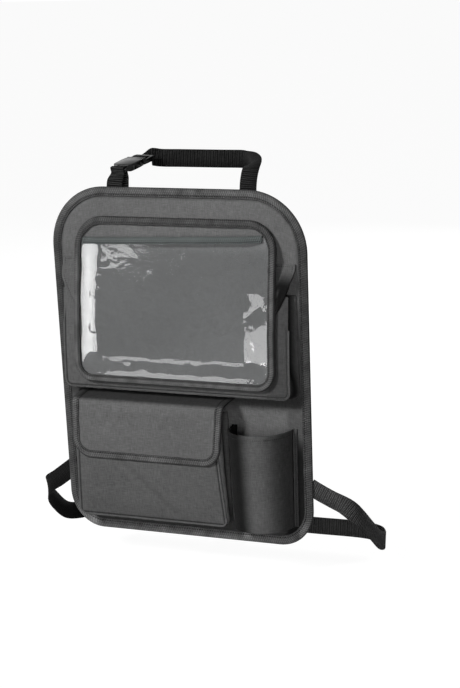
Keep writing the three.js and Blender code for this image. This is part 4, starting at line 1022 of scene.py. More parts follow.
def wide_pocket_gusset():
    corner = WIDE_CORNER
    seat_bottom = wide_low[2] - WIDE_SEAT_DROP
    edge_bottom = wide_low[2] + SEAM_FLANGE
    seat_stops = np.linspace(wide_high[2], seat_bottom + corner, 36)[:-1]
    edge_stops = np.linspace(wide_high[2], edge_bottom + corner, 36)[:-1]
    seat_half = wide_half + WIDE_SPLAY
    edge_half = wide_half - SEAM_FLANGE
    back = pocket_path(lambda z: -seat_half, lambda z: seat_half, seat_bottom, corner, seat_stops)
    front = pocket_path(lambda z: -edge_half, lambda z: edge_half, edge_bottom, corner, edge_stops)
    front = fitted(front, back)
    t = np.linspace(0, 1, 17)
    x = mix(back[:, :1], front[:, :1], t)
    z = mix(back[:, 1:], front[:, 1:], t)
    open_share = ramp(back[:, 1:], seat_bottom + corner, seat_bottom + 5 * corner)
    peak = 1 - np.abs(2 * t - 1) ** 1.25
    x = x - np.sign(x) * WIDE_FOLD * open_share * peak
    rear = PANEL_FRONT - SEAM_GAP - EDGE_ROOM
    far = carrier(front[:, 1:]) + CLOTH + SEAM_GAP + EDGE_ROOM
    grid = np.stack([x, mix(rear, far, t), z], axis=-1)
    grid = creased(grid, 0.9, 22, 23, np.sin(math.pi * t)[None, :])
    in_fold = IN_FOLD_SHADE * np.sin(math.pi * t)[None, :]
    return slab(
        "wide_pocket_side", grid, CLOTH, SHADED_POCKET_CLOTH, "wide_pocket_gusset", in_fold
    )


def welt(name, path, radius, material):
    """The turned edge of a seam: a thin flattened roll along a path of points."""
    along = unit(np.gradient(path, axis=0))
    out = unit(np.cross(along, [0.0, 1.0, 0.0]))
    up = unit(np.cross(out, along))
    turn = np.radians(np.arange(8) * 45)
    sideways = np.cos(turn)[:, None] * out[:, None, :] * radius * 1.2
    forward = np.sin(turn)[:, None] * up[:, None, :] * radius
    waver = wander(path, 8, 31)[:, None] * out * 0.35
    loops = (path + waver)[:, None, :] + (sideways + forward)
    return sweep(name, loops, False, material, None)


def wide_pocket_welt():
    stops = np.linspace(60, wide_low[2] + WIDE_CORNER, 24)[:-1]
    line = pocket_path(lambda z: -wide_half, lambda z: wide_half, wide_low[2], WIDE_CORNER, stops)
    path = np.stack([line[:, 0], carrier(line[:, 1]) + CLOTH, line[:, 1]], axis=1)
    return welt("wide_pocket_welt", path, WELT_RADIUS, SHADED_POCKET_CLOTH)


wide_pieces = [wide_pocket_front(), wide_pocket_gusset(), wide_pocket_welt()]
show_faces(*wide_pieces)

# %% [markdown]
# ## Flap of the wide pocket
# The tablet pocket is sewn to a flap that hangs from a seam on the panel. The flap falls clear of the
# pocket's mouth and lies on its front, and its free sides are turned in and sewn as narrow hems.

# %% Flap of the wide pocket
WIDE_FLAP_DRAPE = 28
WIDE_FLAP_WAIST = 70
WIDE_FLAP_HALF_LOW = 149
WIDE_FLAP_HALF_TOP = flap_high[0]
HEM_RISE = 0.5
HEM_WIDTH = 4.5
FRAME_SIDE_SHADE = 1.1


def wide_flap_half(z):
    flare = np.clip((z - WIDE_FLAP_WAIST) / (flap_high[2] - WIDE_FLAP_WAIST), 0, 1)
    return mix(WIDE_FLAP_HALF_LOW, WIDE_FLAP_HALF_TOP, np.sin(math.pi / 2 * flare))


def wide_flap_y(z):
    lying = carrier(z) - SEAM_GAP - CLOTH / 2
    seam = PANEL_FRONT - SEAM_GAP - CLOTH / 2
    return mix(lying, seam, ramp(z, flap_high[2] - WIDE_FLAP_DRAPE, flap_high[2]))


def wide_pocket_flap():
    z = rows_between(flap_low[2], flap_high[2], 3.5)[:, None]
    share = rows_between(0, 300, 5) / 300 * 2 - 1
    half = wide_flap_half(z)
    x = half * share
    grid = np.stack([x, np.broadcast_to(wide_flap_y(z), x.shape), np.broadcast_to(z, x.shape)], axis=-1)
    from_side = half - np.abs(x)
    hem = HEM_RISE * (1 - ramp(from_side, HEM_WIDTH, HEM_WIDTH + 1.1))
    free = ramp(z, 84, 104) * (1 - ramp(z, 134, 146)) * np.ones_like(x)
    grid[..., 1] -= hem * 0.5
    grid = creased(grid, 1.2, 26, 41, free)
    frame_side = ramp(x, tablet_high[0] - 4, tablet_high[0] + 2)
    shade = FRAME_SIDE_SHADE * frame_side * (1 - ramp(z, 118, 142))
    return slab("wide_pocket_lid", grid, CLOTH + hem, SHADED_POCKET_CLOTH, "wide_pocket_flap", shade)


wide_lid = wide_pocket_flap()
show_faces(wide_lid)

# %% [markdown]
# ## Tablet pocket
# One bound frame holds a cloth back and a clear window. The window swells over the room inside, and its
# free upper edge is bound with a tape of its own, a little lower than the frame's top.

# %% Tablet pocket
TABLET_CORNER_TOP = 42
TABLET_CORNER_BOTTOM = 28
TABLET_TAPE = 10
FILM_THICKNESS = 0.6
WINDOW_BULGE = 8
WINDOW_EASE = 30
WINDOW_RISE = 10
WINDOW_TAPE_HEIGHT = 9
WINDOW_TAPE_LEG = 0.7
WINDOW_TAPE_EASE = 0.6
WINDOW_TAPE_PUFF = 0.25
BEHIND_FILM_SHADE = 0.4
TOP_TAPE_SHADE = 0.55

window_tape_low, window_tape_high = span("window_top_tape")
TABLET_WIDTH = tablet_high[0] - tablet_low[0]
TABLET_MIDDLE = (tablet_high[0] + tablet_low[0]) / 2
WINDOW_TOP = (window_tape_high[2] + window_tape_low[2] + WINDOW_TAPE_HEIGHT) / 2
tablet_shape = make_frame(
    tablet_low[0], tablet_high[0], tablet_low[2], tablet_high[2], TABLET_CORNER_BOTTOM, TABLET_CORNER_TOP
)
TABLET_CLOTH_REAR = BINDING_LEG + SEAM_GAP
TABLET_FILM_REAR = TABLET_CLOTH_REAR + CLOTH + SEAM_GAP + WINDOW_TAPE_LEG + WINDOW_TAPE_EASE
TABLET_FRONT = TABLET_FILM_REAR + FILM_THICKNESS + SEAM_GAP + BINDING_LEG


def tablet_point(x, z, depth):
    """A place on the pocket, at a depth measured outwards from the rear of its binding."""
    y = carrier(z) - 2 * SEAM_GAP - CLOTH - depth
    return np.stack(np.broadcast_arrays(x, y, z), axis=-1)


def tablet_pocket_back():
    x, z = outline_grid(tablet_shape, BINDING_FOLD + SEAM_GAP, 4.0)
    grid = tablet_point(x, z, TABLET_CLOTH_REAR + CLOTH / 2)
    inside = depth_inside(tablet_shape, x, z)
    grid = creased(grid, 0.25, 24, 51, ramp(inside, 10, 20))
    shade = BEHIND_FILM_SHADE * (1 - ramp(z, WINDOW_TOP - 26, WINDOW_TOP - 6))
    return slab("tablet_pocket_cloth", grid, CLOTH, PANEL_CLOTH, "tablet_pocket_back", shade)


def tablet_pocket_binding():
    section = tape_section(TABLET_TAPE, 0, TABLET_FRONT, BINDING_LEG, BINDING_FOLD, 0)
    centre = np.array([TABLET_MIDDLE, (tablet_low[2] + tablet_high[2]) / 2])

    def place(line, depth, waver, puff):
        moved = line + unit(centre - line) * waver[:, None]
        raised = BINDING_PUFF * puff * (depth >= TABLET_FRONT - 0.01)
        return tablet_point(moved[:, 0], moved[:, 1], depth + raised * 0.8)

    loops = tape_loops(tablet_shape, section, place, 61)
    along_top = TOP_TAPE_SHADE * ramp(loops[:, :1, 2], 140, 175)
    shade = np.maximum(SECTION_SHADE, along_top)
    return sweep(
        "tablet_pocket_tape", loops, True, BINDING_TAPE, "tablet_pocket_binding", shade
    )


def window_edge(x):
    """Height of the window's free edge, which rises to the right."""
    return WINDOW_TOP + WINDOW_RISE * (x - TABLET_MIDDLE) / TABLET_WIDTH


def window_swell(x, z):
    start = TABLET_TAPE + BINDING_FOLD
    level = np.minimum(z + WINDOW_TAPE_HEIGHT, window_edge(x))
    spans = [row_span(tablet_shape, 0, one) for one in np.ravel(level)]
    left, right = (np.reshape(side, np.shape(level)) for side in zip(*spans))
    sides = ramp(x - left, start, start + WINDOW_EASE) * ramp(right - x, start, start + WINDOW_EASE)
    return WINDOW_BULGE * sides * ramp(z - tablet_low[2], start, start + WINDOW_EASE)


def tablet_window():
    inset = BINDING_FOLD + SEAM_GAP
    share = rows_between(0, 300, 3.5) / 300
    heights = np.linspace(0, 1, 72)
    x, z = [], []
    for t in heights:
        low = tablet_low[2] + inset
        row_z = mix(low, WINDOW_TOP - WINDOW_TAPE_LEG, t)
        left, right = row_span(tablet_shape, inset, row_z)
        row = mix(left, right, share)
        tilt = ramp(t, 0.6, 1.0) * (window_edge(row) - WINDOW_TOP)
        x.append(row)
        z.append(row_z + tilt)
    x, z = np.array(x), np.array(z)
    swell = window_swell(x, z)
    slack = (swell / WINDOW_BULGE) * (1 - swell / WINDOW_BULGE) * 4 + 0.03
    flat = np.stack([x, np.zeros_like(x), z], axis=-1)
    ripple = wander(flat * [0.8, 1, 0.35], 12, 71) * 0.9 + wander(flat * [0.4, 1, 1], 20, 73) * 0.7
    ripple += wander(flat, 11, 75) * 1.6 * ramp(swell / WINDOW_BULGE, 0.5, 0.9)
    slope_end = tablet_low[0] + TABLET_TAPE + 0.85 * WINDOW_EASE
    ragged = wander(flat * [0.5, 1, 1.3], 10, 77) * np.exp(-((x - slope_end) / 8) ** 2)
    under_tape = ramp(window_edge(x) - z, WINDOW_TAPE_HEIGHT, WINDOW_TAPE_HEIGHT + 12)
    depth = TABLET_FILM_REAR + FILM_THICKNESS / 2 + swell + (ripple * slack + ragged * 1.1) * under_tape
    grid = tablet_point(x, z, depth)
    return slab("tablet_window_film", grid, FILM_THICKNESS, FILM, "tablet_window")


def window_top_tape():
    rear = TABLET_FILM_REAR - WINDOW_TAPE_EASE
    front = TABLET_FILM_REAR + FILM_THICKNESS + WINDOW_TAPE_EASE
    leg = WINDOW_TAPE_LEG
    section = tape_section(WINDOW_TAPE_HEIGHT, rear - leg, front + leg, leg, leg, WINDOW_TAPE_PUFF)
    left, right = span("window_top_tape")
    x = np.linspace(left[0], right[0], 110)
    loops = []
    for drop, depth in section:
        z = window_edge(x) - drop
        loops.append(tablet_point(x, z, depth + window_swell(x, z)))
    loops = np.stack(loops, axis=1)
    return sweep("window_edge_tape", loops, False, WINDOW_TAPE, "window_top_tape")


tablet_back = tablet_pocket_back()
show_faces(tablet_back, tablet_pocket_binding(), tablet_window(), window_top_tape())

# %% [markdown]
# ## Box pocket and its flap
# The box pocket's front is full, like a pillow, on a gusset that pinches in at its middle. Its flap is
# bound on three sides and falls over the front from a seam on the panel.

# %% Box pocket
BOX_RIGHT_MOUTH = 64
BOX_LEFT_MOUTH = -149
BOX_DEPTH_MOUTH = 38.5
BOX_DEPTH_BOTTOM = 33
BOX_FULLNESS = 2.5
BOX_CORNER = 9
BOX_SEAT_LEFT = -159
BOX_SEAT_RIGHT = 68
BOX_SEAT_DROP = 5
BOX_PINCH = 4
BOX_SWELL = 2.5
BOX_FOLD_AT = 0.5
BOX_PILLOW = 2.2
LIT_GUSSET = 2.4

box_low, box_high = span("box_pocket_front")


def box_share(z):
    return (box_high[2] - z) / (box_high[2] - box_low[2])


def box_left(z):
    return mix(BOX_LEFT_MOUTH, box_low[0], box_share(z))


def box_right(z):
    return mix(BOX_RIGHT_MOUTH, box_high[0], box_share(z))


def box_front(z):
    share = np.clip(box_share(z), 0, 1)
    depth = mix(BOX_DEPTH_MOUTH, BOX_DEPTH_BOTTOM, share)
    return PANEL_FRONT - depth - BOX_FULLNESS * np.sin(math.pi * share)


def box_pocket_front():
    z = rows_between(box_low[2], box_high[2], 3.2)
    share = rows_between(0, 220, 3.2) / 220
    rise = np.maximum(box_low[2] + BOX_CORNER - z, 0)
    cut = BOX_CORNER - np.sqrt(np.maximum(BOX_CORNER ** 2 - rise ** 2, 0))
    x = mix((box_left(z) + cut)[:, None], (box_right(z) - cut)[:, None], share)
    heights = np.repeat(z[:, None], x.shape[1], axis=1)
    grid = np.stack([x, box_front(heights) + CLOTH / 2, heights], axis=-1)
    near_side = np.minimum(x - box_left(heights), box_right(heights) - x)
    inside = np.minimum(near_side, heights - box_low[2])
    low_part = 1 - ramp(heights, -135, -118)
    pillow = BOX_PILLOW * ramp(inside, 0, 26) * low_part
    off_crease = (x + 1.13 * heights + 234) / 1.5
    crease = 1.3 * np.exp(-(off_crease / 5) ** 2) - 0.9 * np.exp(-((off_crease - 9) / 7) ** 2)
    crease = crease * ramp(inside, 4, 24) * low_part
    grid[..., 1] += crease - pillow
    grid = creased(grid, 0.7, 24, 81, low_part * ramp(inside, 2, 14))
    seam = seam_line(inside)
    grid[..., 1] += GROOVE_DEPTH * seam
    # The groove beside the seam gets painted shade as well.
    return slab("box_pocket_panel", grid, CLOTH, SHADED_POCKET_CLOTH, "box_pocket_front", seam)


def box_pocket_gusset():
    seat_bottom = box_low[2] - BOX_SEAT_DROP
    edge_bottom = box_low[2] + SEAM_FLANGE
    seat_stops = np.linspace(box_high[2], seat_bottom + BOX_CORNER, 40)[:-1]
    edge_stops = np.linspace(box_high[2], edge_bottom + BOX_CORNER, 40)[:-1]
    back = pocket_path(lambda z: BOX_SEAT_LEFT, lambda z: BOX_SEAT_RIGHT, seat_bottom, BOX_CORNER, seat_stops)
    front = pocket_path(
        lambda z: box_left(z) + SEAM_FLANGE, lambda z: box_right(z) - SEAM_FLANGE,
        edge_bottom, BOX_CORNER, edge_stops,
    )
    front = fitted(front, back)
    middle = (BOX_SEAT_LEFT + BOX_SEAT_RIGHT) / 2
    t = np.linspace(0, 1, 17)
    x = mix(back[:, :1], front[:, :1], t)
    open_share = ramp(back[:, 1:], seat_bottom + BOX_CORNER, seat_bottom + 5 * BOX_CORNER)
    pinch = BOX_PINCH * open_share * np.sin(math.pi * np.minimum(t / BOX_FOLD_AT, 1))
    swell = BOX_SWELL * np.sin(math.pi * np.maximum((t - BOX_FOLD_AT) / (1 - BOX_FOLD_AT), 0))
    x = x + np.sign(x - middle) * (swell - pinch)
    rear = PANEL_FRONT - SEAM_GAP - EDGE_ROOM / 2
    far = box_front(front[:, 1:]) + CLOTH + SEAM_GAP + EDGE_ROOM / 2
    grid = np.stack([x, mix(rear, far, t), mix(back[:, 1:], front[:, 1:], t)], axis=-1)
    grid = creased(grid, 0.9, 20, 83, np.sin(math.pi * t)[None, :])
    shade = -LIT_GUSSET * ramp(t, 0.45, 0.7) * (back[:, :1] > middle)
    return slab("box_pocket_side", grid, CLOTH, SHADED_POCKET_CLOTH, "box_pocket_gusset", shade)


def box_pocket_welt():
    stops = np.linspace(-118, box_low[2] + BOX_CORNER, 40)[:-1]
    line = pocket_path(box_left, box_right, box_low[2], BOX_CORNER, stops)
    path = np.stack([line[:, 0], box_front(line[:, 1]) + CLOTH * 0.7, line[:, 1]], axis=1)
    return welt("box_pocket_welt", path, WELT_RADIUS, SHADED_POCKET_CLOTH)


box_pieces = [box_pocket_front(), box_pocket_gusset(), box_pocket_welt()]
show_faces(*box_pieces)

# %% [markdown]
# The flap's side view is one smooth line from the seam, over the fold and down the front. Cloth and tape
# are first laid out flat, as places across it and down its length, and then set on that line.

# %% Flap of the box pocket
FLAP_SEAM = -41
FLAP_FOLD = -47
FLAP_LEFT_FOLD = -154
FLAP_LEFT_BOTTOM = -157
FLAP_RIGHT_FOLD = 81
FLAP_RIGHT_BOTTOM = 72
FLAP_CORNER = 28
FLAP_TAPE = 11
FLAP_RADIUS = 5
TAPE_THICKNESS = 0.9
FLAP_PILLOW = 1.6
FLAP_CREASE = 1.7
BEFORE_FOLD_SHADE = 0.85

FLAP_BOTTOM = span("box_flap_binding")[0][2]
flap_seam_y = PANEL_FRONT - SEAM_GAP - CLOTH / 2
flap_standoff = 3 * SEAM_GAP + 2 * TAPE_THICKNESS + CLOTH / 2


def smooth_line(stops, steps, even=False):
    """Centripetal curve through the stops, or a uniform one, with so many steps to each."""
    stops = np.asarray(stops, float)
    ends = np.concatenate([[2 * stops[0] - stops[1]], stops, [2 * stops[-1] - stops[-2]]])
    points = []
    t = np.arange(steps)[:, None] / steps
    for p0, p1, p2, p3 in zip(ends, ends[1:], ends[2:], ends[3:]):
        if even:
            start, end = (p2 - p0) / 2, (p3 - p1) / 2
        else:
            pairs = (p0, p1), (p1, p2), (p2, p3)
            d0, d1, d2 = (max(np.linalg.norm(b - a), 1e-8) ** 0.5 for a, b in pairs)
            start = ((p1 - p0) / d0 - (p2 - p0) / (d0 + d1) + (p2 - p1) / d1) * d1
            end = ((p2 - p1) / d1 - (p3 - p1) / (d1 + d2) + (p3 - p2) / d2) * d1
        c2 = -3 * p1 + 3 * p2 - 2 * start - end
        c3 = 2 * p1 - 2 * p2 + start + end
        points.append(p1 + t * start + t ** 2 * c2 + t ** 3 * c3)
    return np.concatenate(points + [stops[-1:]])


def flap_profile():
    """From the seam out over the fold and down in front of the pocket, as pairs of y and z."""
    fold_y = box_front(FLAP_FOLD) - flap_standoff
    heights = mix(FLAP_FOLD - FLAP_RADIUS, FLAP_BOTTOM, np.array([0.15, 0.4, 0.7, 1]))
    stops = [
        (flap_seam_y, FLAP_SEAM),
        (mix(flap_seam_y, fold_y, 0.5), mix(FLAP_SEAM, FLAP_FOLD, 0.4)),
        (fold_y + FLAP_RADIUS, FLAP_FOLD + FLAP_RADIUS * 0.1),
        (fold_y + FLAP_RADIUS * 0.3, FLAP_FOLD - FLAP_RADIUS * 0.3),
        (fold_y, FLAP_FOLD - FLAP_RADIUS),
    ]
    stops += [(box_front(z) - flap_standoff, z) for z in heights]
    return smooth_line(stops, 24)


profile = flap_profile()
profile_length = run_length(profile)
FLAP_LENGTH = profile_length[-1]
FLAP_STRAIGHT = FLAP_LENGTH - FLAP_CORNER
FOLD_AT = abs(box_front(FLAP_FOLD) - flap_standoff - flap_seam_y)


def flap_point(x, down, out):
    """A place on the flap: across it, down its length from the seam, and out from its middle."""
    down = np.clip(down, 0, FLAP_LENGTH)
    y = np.interp(down, profile_length, profile[:, 0])
    z = np.interp(down, profile_length, profile[:, 1])
    slope = unit(np.gradient(profile, profile_length, axis=0))
    along_y = np.interp(down, profile_length, slope[:, 0])
    along_z = np.interp(down, profile_length, slope[:, 1])
    return np.stack(np.broadcast_arrays(x, y + out * along_z, z - out * along_y), axis=-1)


def flap_share(down):
    return np.clip((down - FOLD_AT) / (FLAP_LENGTH - FOLD_AT), 0, 1)


def before_fold(down):
    """Painted shade on the flap between its seam and its fold, where the pocket above shades it."""
    return BEFORE_FOLD_SHADE * (1 - ramp(down, FOLD_AT - 5, FOLD_AT + 3))


def flap_left(down):
    return mix(FLAP_LEFT_FOLD, FLAP_LEFT_BOTTOM, flap_share(down))


def flap_right(down):
    return mix(FLAP_RIGHT_FOLD, FLAP_RIGHT_BOTTOM, flap_share(down))


def box_pocket_flap():
    inset = BINDING_FOLD + SEAM_GAP
    down = rows_between(0, FLAP_LENGTH - inset, 2.2)
    radius = FLAP_CORNER - inset
    rise = np.maximum(down - FLAP_STRAIGHT, 0)
    cut = np.where(rise > 0, FLAP_CORNER - np.sqrt(np.maximum(radius ** 2 - rise ** 2, 0)), inset)
    level = np.minimum(down, FLAP_STRAIGHT)
    share = rows_between(0, 230, 3.6) / 230
    x = mix((flap_left(level) + cut)[:, None], (flap_right(level) - cut)[:, None], share)
    near_side = np.minimum(x - flap_left(level)[:, None], flap_right(level)[:, None] - x)
    inside = np.minimum(near_side, FLAP_LENGTH - down[:, None])
    hanging = ramp(down, FOLD_AT + 2, FOLD_AT + 14)[:, None]
    pillow = FLAP_PILLOW * ramp(inside, FLAP_TAPE - 1, FLAP_TAPE + 24) * hanging
    grid = flap_point(x, np.broadcast_to(down[:, None], x.shape), pillow)
    near_fold = 1 - ramp(down, FOLD_AT + 16, FOLD_AT + 40)[:, None]
    off_tape = ramp(inside, 10, 16) * hanging
    grid = creased(grid, 0.5, 20, 91, off_tape * (1 + near_fold))
    folds = wander(grid * [1, 0.4, 0.45], 13, 97) * FLAP_CREASE * near_fold * off_tape
    grid = grid + grid_normals(grid) * folds[..., None]
    shade = before_fold(down)[:, None]
    return slab("box_pocket_lid", grid, CLOTH, PANEL_CLOTH, "box_pocket_flap", shade)


def flap_path(inset, step=3.0):
    """The flap's bound edge on the flat cloth: across, and down as a negative height."""
    stops = -np.concatenate([
        np.linspace(0, FOLD_AT - FLAP_RADIUS, 14)[:-1],
        np.linspace(FOLD_AT - FLAP_RADIUS, FOLD_AT + FLAP_RADIUS, 16)[:-1],
        np.linspace(FOLD_AT + FLAP_RADIUS, FLAP_STRAIGHT, 22)[:-1],
    ])
    return pocket_path(
        lambda z: flap_left(-z), lambda z: flap_right(-z), -FLAP_LENGTH, FLAP_CORNER, stops, inset, step
    )


def box_flap_binding():
    rear = -(CLOTH / 2 + SEAM_GAP + BINDING_LEG)
    section = tape_section(FLAP_TAPE, rear, -rear, BINDING_LEG, BINDING_FOLD, 0)
    base = flap_path(0.01)
    flat = np.stack([base[:, 0], np.zeros(len(base)), base[:, 1]], axis=1)
    waver = wander(flat, 9, 93) * 0.45
    puff = 0.25 + 0.25 * wander(flat, 6, 95)
    loops = []
    for inset, depth in section:
        line = flap_path(inset + 0.01)
        line[:, 0] += np.where(line[:, 0] < 0, waver, -waver) * inset / FLAP_TAPE
        raised = np.where(depth >= -rear - 0.01, puff, 0)
        loops.append(flap_point(line[:, 0], -line[:, 1], depth + raised))
    loops = np.stack(loops, axis=1)
    shade = np.maximum(SECTION_SHADE, before_fold(-base[:, 1:]))
    return sweep("box_flap_tape", loops, False, BINDING_TAPE, "box_flap_binding", shade)


flap = box_pocket_flap()
show_faces(flap, box_flap_binding())

# %% [markdown]
# Under the flap a strip of hook tape meets a strip of loop tape on the pocket. Both follow the lean of the
# pocket's front.


# %% Hook and loop tapes under the flap
def closing_tape(name, node):
    low, high = span(node)
    x, z = np.meshgrid(np.linspace(low[0], high[0], 40), np.linspace(low[2], high[2], 10))
    lean = box_front(z) - box_front((low[2] + high[2]) / 2)
    y = (low[1] + high[1]) / 2 + lean
    return slab(name, np.stack([x, y, z], axis=-1), TAPE_THICKNESS, CLOSING_TAPE, node)


show_faces(closing_tape("loop_strip", "front_loop_tape"), closing_tape("hook_strip", "flap_hook_tape"))

# %% [markdown]
# ## Bottle pocket
# A round sleeve is sewn to the panel by a narrow flange at each side. Its mouth is turned in as a hem,
# and a small half round of cloth closes it at the bottom.

# %% Bottle pocket
BOTTLE_FLANGE = 6
BOTTLE_DEPTH_MOUTH = 57
BOTTLE_DEPTH_BOTTOM = 50
BOTTLE_TAPER = 3
BOTTLE_HEM = 7
BOTTLE_HEM_THICKNESS = 2.4
BOTTLE_ROUND = 0.7
LEFT_FLANK_SHADE = 1.1
RIGHT_FLANK_SHADE = 0.4

sleeve_low, sleeve_high = span("bottle_pocket_sleeve")
base_low, base_high = span("bottle_pocket_base")
BOTTLE_LEFT = sleeve_low[0] + BOTTLE_FLANGE
BOTTLE_RIGHT = sleeve_high[0] - BOTTLE_FLANGE


def bottle_section(z, inset, count=72):
    fall = (sleeve_high[2] - z) / (sleeve_high[2] - sleeve_low[2])
    middle = (BOTTLE_LEFT + BOTTLE_RIGHT) / 2
    half = (BOTTLE_RIGHT - BOTTLE_LEFT) / 2 - BOTTLE_TAPER * fall - inset
    depth = mix(BOTTLE_DEPTH_MOUTH, BOTTLE_DEPTH_BOTTOM, fall) - inset
    angle = np.linspace(0, math.pi, count)
    seat = PANEL_FRONT - SEAM_GAP - CLOTH / 2
    return np.stack([
        middle - half * np.cos(angle),
        seat - (depth - CLOTH / 2) * np.sin(angle) ** BOTTLE_ROUND,
    ], axis=1)


def bottle_sleeve():
    levels = rows_between(sleeve_low[2], sleeve_high[2], 3.2)
    rows = []
    for z in levels:
        arc = bottle_section(z, 0)
        flange = np.linspace(1, 0.1, 5)[:, None] * [BOTTLE_FLANGE, 0]
        rows.append(np.concatenate([arc[0] - flange, arc, arc[-1] + flange[::-1]]))
    line = np.array(rows)
    heights = np.broadcast_to(levels[:, None], line.shape[:2])
    grid = np.stack([line[..., 0], line[..., 1] - (BOTTLE_HEM_THICKNESS - CLOTH) / 2, heights], axis=-1)
    hem = ramp(heights, sleeve_high[2] - BOTTLE_HEM - 0.6, sleeve_high[2] - BOTTLE_HEM + 0.6)
    out = ramp(PANEL_FRONT - grid[..., 1], 6, 16)
    grid = creased(grid, 1.0, 30, 101, out * (1 - hem))
    thickness = CLOTH + (BOTTLE_HEM_THICKNESS - CLOTH) * hem
    turn = np.concatenate([np.zeros(5), np.linspace(0, 1, line.shape[1] - 10), np.ones(5)])
    shade = LEFT_FLANK_SHADE * (1 - ramp(turn, 0.37, 0.56)) + RIGHT_FLANK_SHADE * ramp(turn, 0.62, 0.8)
    return slab("bottle_sleeve", grid, thickness, SHADED_POCKET_CLOTH, "bottle_pocket_sleeve", shade)


def bottle_base():
    z = (base_low[2] + base_high[2]) / 2
    rim = bottle_section(base_low[2], CLOTH / 2 + SEAM_GAP, 60)
    seat = np.stack([rim[:, 0], np.full(len(rim), PANEL_FRONT - SEAM_GAP)], axis=1)
    rim = np.minimum(rim, [np.inf, PANEL_FRONT - SEAM_GAP])
    rows = np.stack([mix(seat, rim, t) for t in np.linspace(0, 1, 14)])[:, 1:-1]
    grid = np.stack([rows[..., 0], rows[..., 1], np.full(rows.shape[:2], z)], axis=-1)
    return slab("bottle_bottom", grid, CLOTH, SHADED_POCKET_CLOTH, "bottle_pocket_base")


def bottle_welt():
    z = np.linspace(sleeve_high[2] - 1, sleeve_low[2], 60)
    x = [bottle_section(one, 0)[-1][0] + 0.6 for one in z]
    path = np.stack([x, np.full(len(z), PANEL_FRONT - SEAM_GAP - CLOTH - 0.8), z], axis=1)
    return welt("bottle_sleeve_welt", path, 0.9, SHADED_POCKET_CLOTH)


bottle_pieces = [bottle_sleeve(), bottle_base(), bottle_welt()]
show_faces(*bottle_pieces)

# %% [markdown]
# ## Webbing
# The straps are flat webbing that keeps its width and only bends across its thin side. Each one is a
# list of stops with the way its width points there, and a smooth band runs through them.

# %% Webbing
WEBBING_WIDTH = 25
WEBBING_THICKNESS = 1.4
WEBBING_GAP = 0.35
BUCKLE_BAR = 3
BUCKLE_BAR_HEIGHT = 4.4
BUCKLE_SLOT = 5
SOCKET_LENGTH = 36
CLIP_CLEARANCE = 0.4
CLIP_FLANGE = 5.1
LADDER_BAR = 3.5
FRAME_START = SOCKET_LENGTH + CLIP_CLEARANCE + CLIP_FLANGE
LADDER_START = FRAME_START + BUCKLE_SLOT
OUTER_SLOT = LADDER_START + LADDER_BAR
END_BAR = OUTER_SLOT + BUCKLE_SLOT
CLIP_END = END_BAR + BUCKLE_BAR
OVER_BAR = BUCKLE_BAR_HEIGHT / 2 + WEBBING_GAP + WEBBING_THICKNESS / 2
BESIDE_BAR = WEBBING_GAP + WEBBING_THICKNESS / 2
STRAP_REST = SEAM_GAP + WEBBING_THICKNESS / 2
PANEL_TOP = binding_high[2]
STRAP_END = PANEL_TOP - BINDING_WIDTH + 1
TOP_STRAP_X = 111
SHORT_STRAP_X = -93.5
POST_STRAP_HEIGHT = 274.5
POST_STRAP_Y = 84
POST_HALF_SPACING = 64
LOWER_STRAP_START = -160
LOWER_LOOP_Y = 142
LOWER_LOOP_Z = -259.5
LOWER_LOOP_HALF_WIDTH = 252
BAND_STEPS = 14
STATION_STEP = 0.8


def buckle_frame(start, along, up):
    """A buckle's place, and its long, wide and thick directions."""
    along = unit(np.array(along, float))
    up = np.array(up, float)
    thick = unit(up - along * np.dot(up, along))
    return {"start": np.array(start, float), "along": along, "thick": thick, "wide": np.cross(thick, along)}


def on_buckle(place, x, height):
    return place["start"] + place["along"] * x + place["thick"] * height


top_buckle = buckle_frame((-93, 11.5, 266.5), (0.236, 0.949, 0.208), (0, 0, 1))
lower_buckle = buckle_frame((-CLIP_END / 2, LOWER_LOOP_Y, LOWER_LOOP_Z), (1, 0, 0), (0, 1, 0))


def bar_wrap(side):
    around = (WEBBING_GAP + WEBBING_THICKNESS / 2) * math.sqrt(0.5) + 0.1
    top = BUCKLE_BAR_HEIGHT / 2
    turns = [
        (-BESIDE_BAR, 0), (-around, top + around), (BUCKLE_BAR / 2, OVER_BAR + 0.15),
        (BUCKLE_BAR + around, top + around), (BUCKLE_BAR + BESIDE_BAR, 0),
    ]
    return [(x, side * height) for x, height in turns]


def ladder_route(place, width):
    """Under the end bar, over the ladder bar and back out below."""
    outer = OUTER_SLOT + BUCKLE_SLOT / 2
    inner = FRAME_START + BUCKLE_SLOT / 2
    ladder = LADDER_START + LADDER_BAR / 2
    below = -(OVER_BAR + WEBBING_THICKNESS + 2 * WEBBING_GAP)
    stops = [
        (CLIP_END, -OVER_BAR), (END_BAR + BUCKLE_BAR / 3, -OVER_BAR), (outer + 1.4, -OVER_BAR + 0.3),
        (outer + 0.4, -1.6), (outer, 0), (outer - 0.4, 1.6), (ladder + 2, OVER_BAR - 0.2),
        (ladder, OVER_BAR + 0.1), (ladder - 2, OVER_BAR - 0.2), (inner + 0.4, 1.6), (inner, 0),
        (inner, -1.8), (inner + 0.6, below + 1), (inner + 2.6, below), (END_BAR, below - 0.4),
        (CLIP_END + 12, below - 2.5), (CLIP_END + 26, below - 7),
    ]
    return [(on_buckle(place, x, height), width) for x, height in stops]


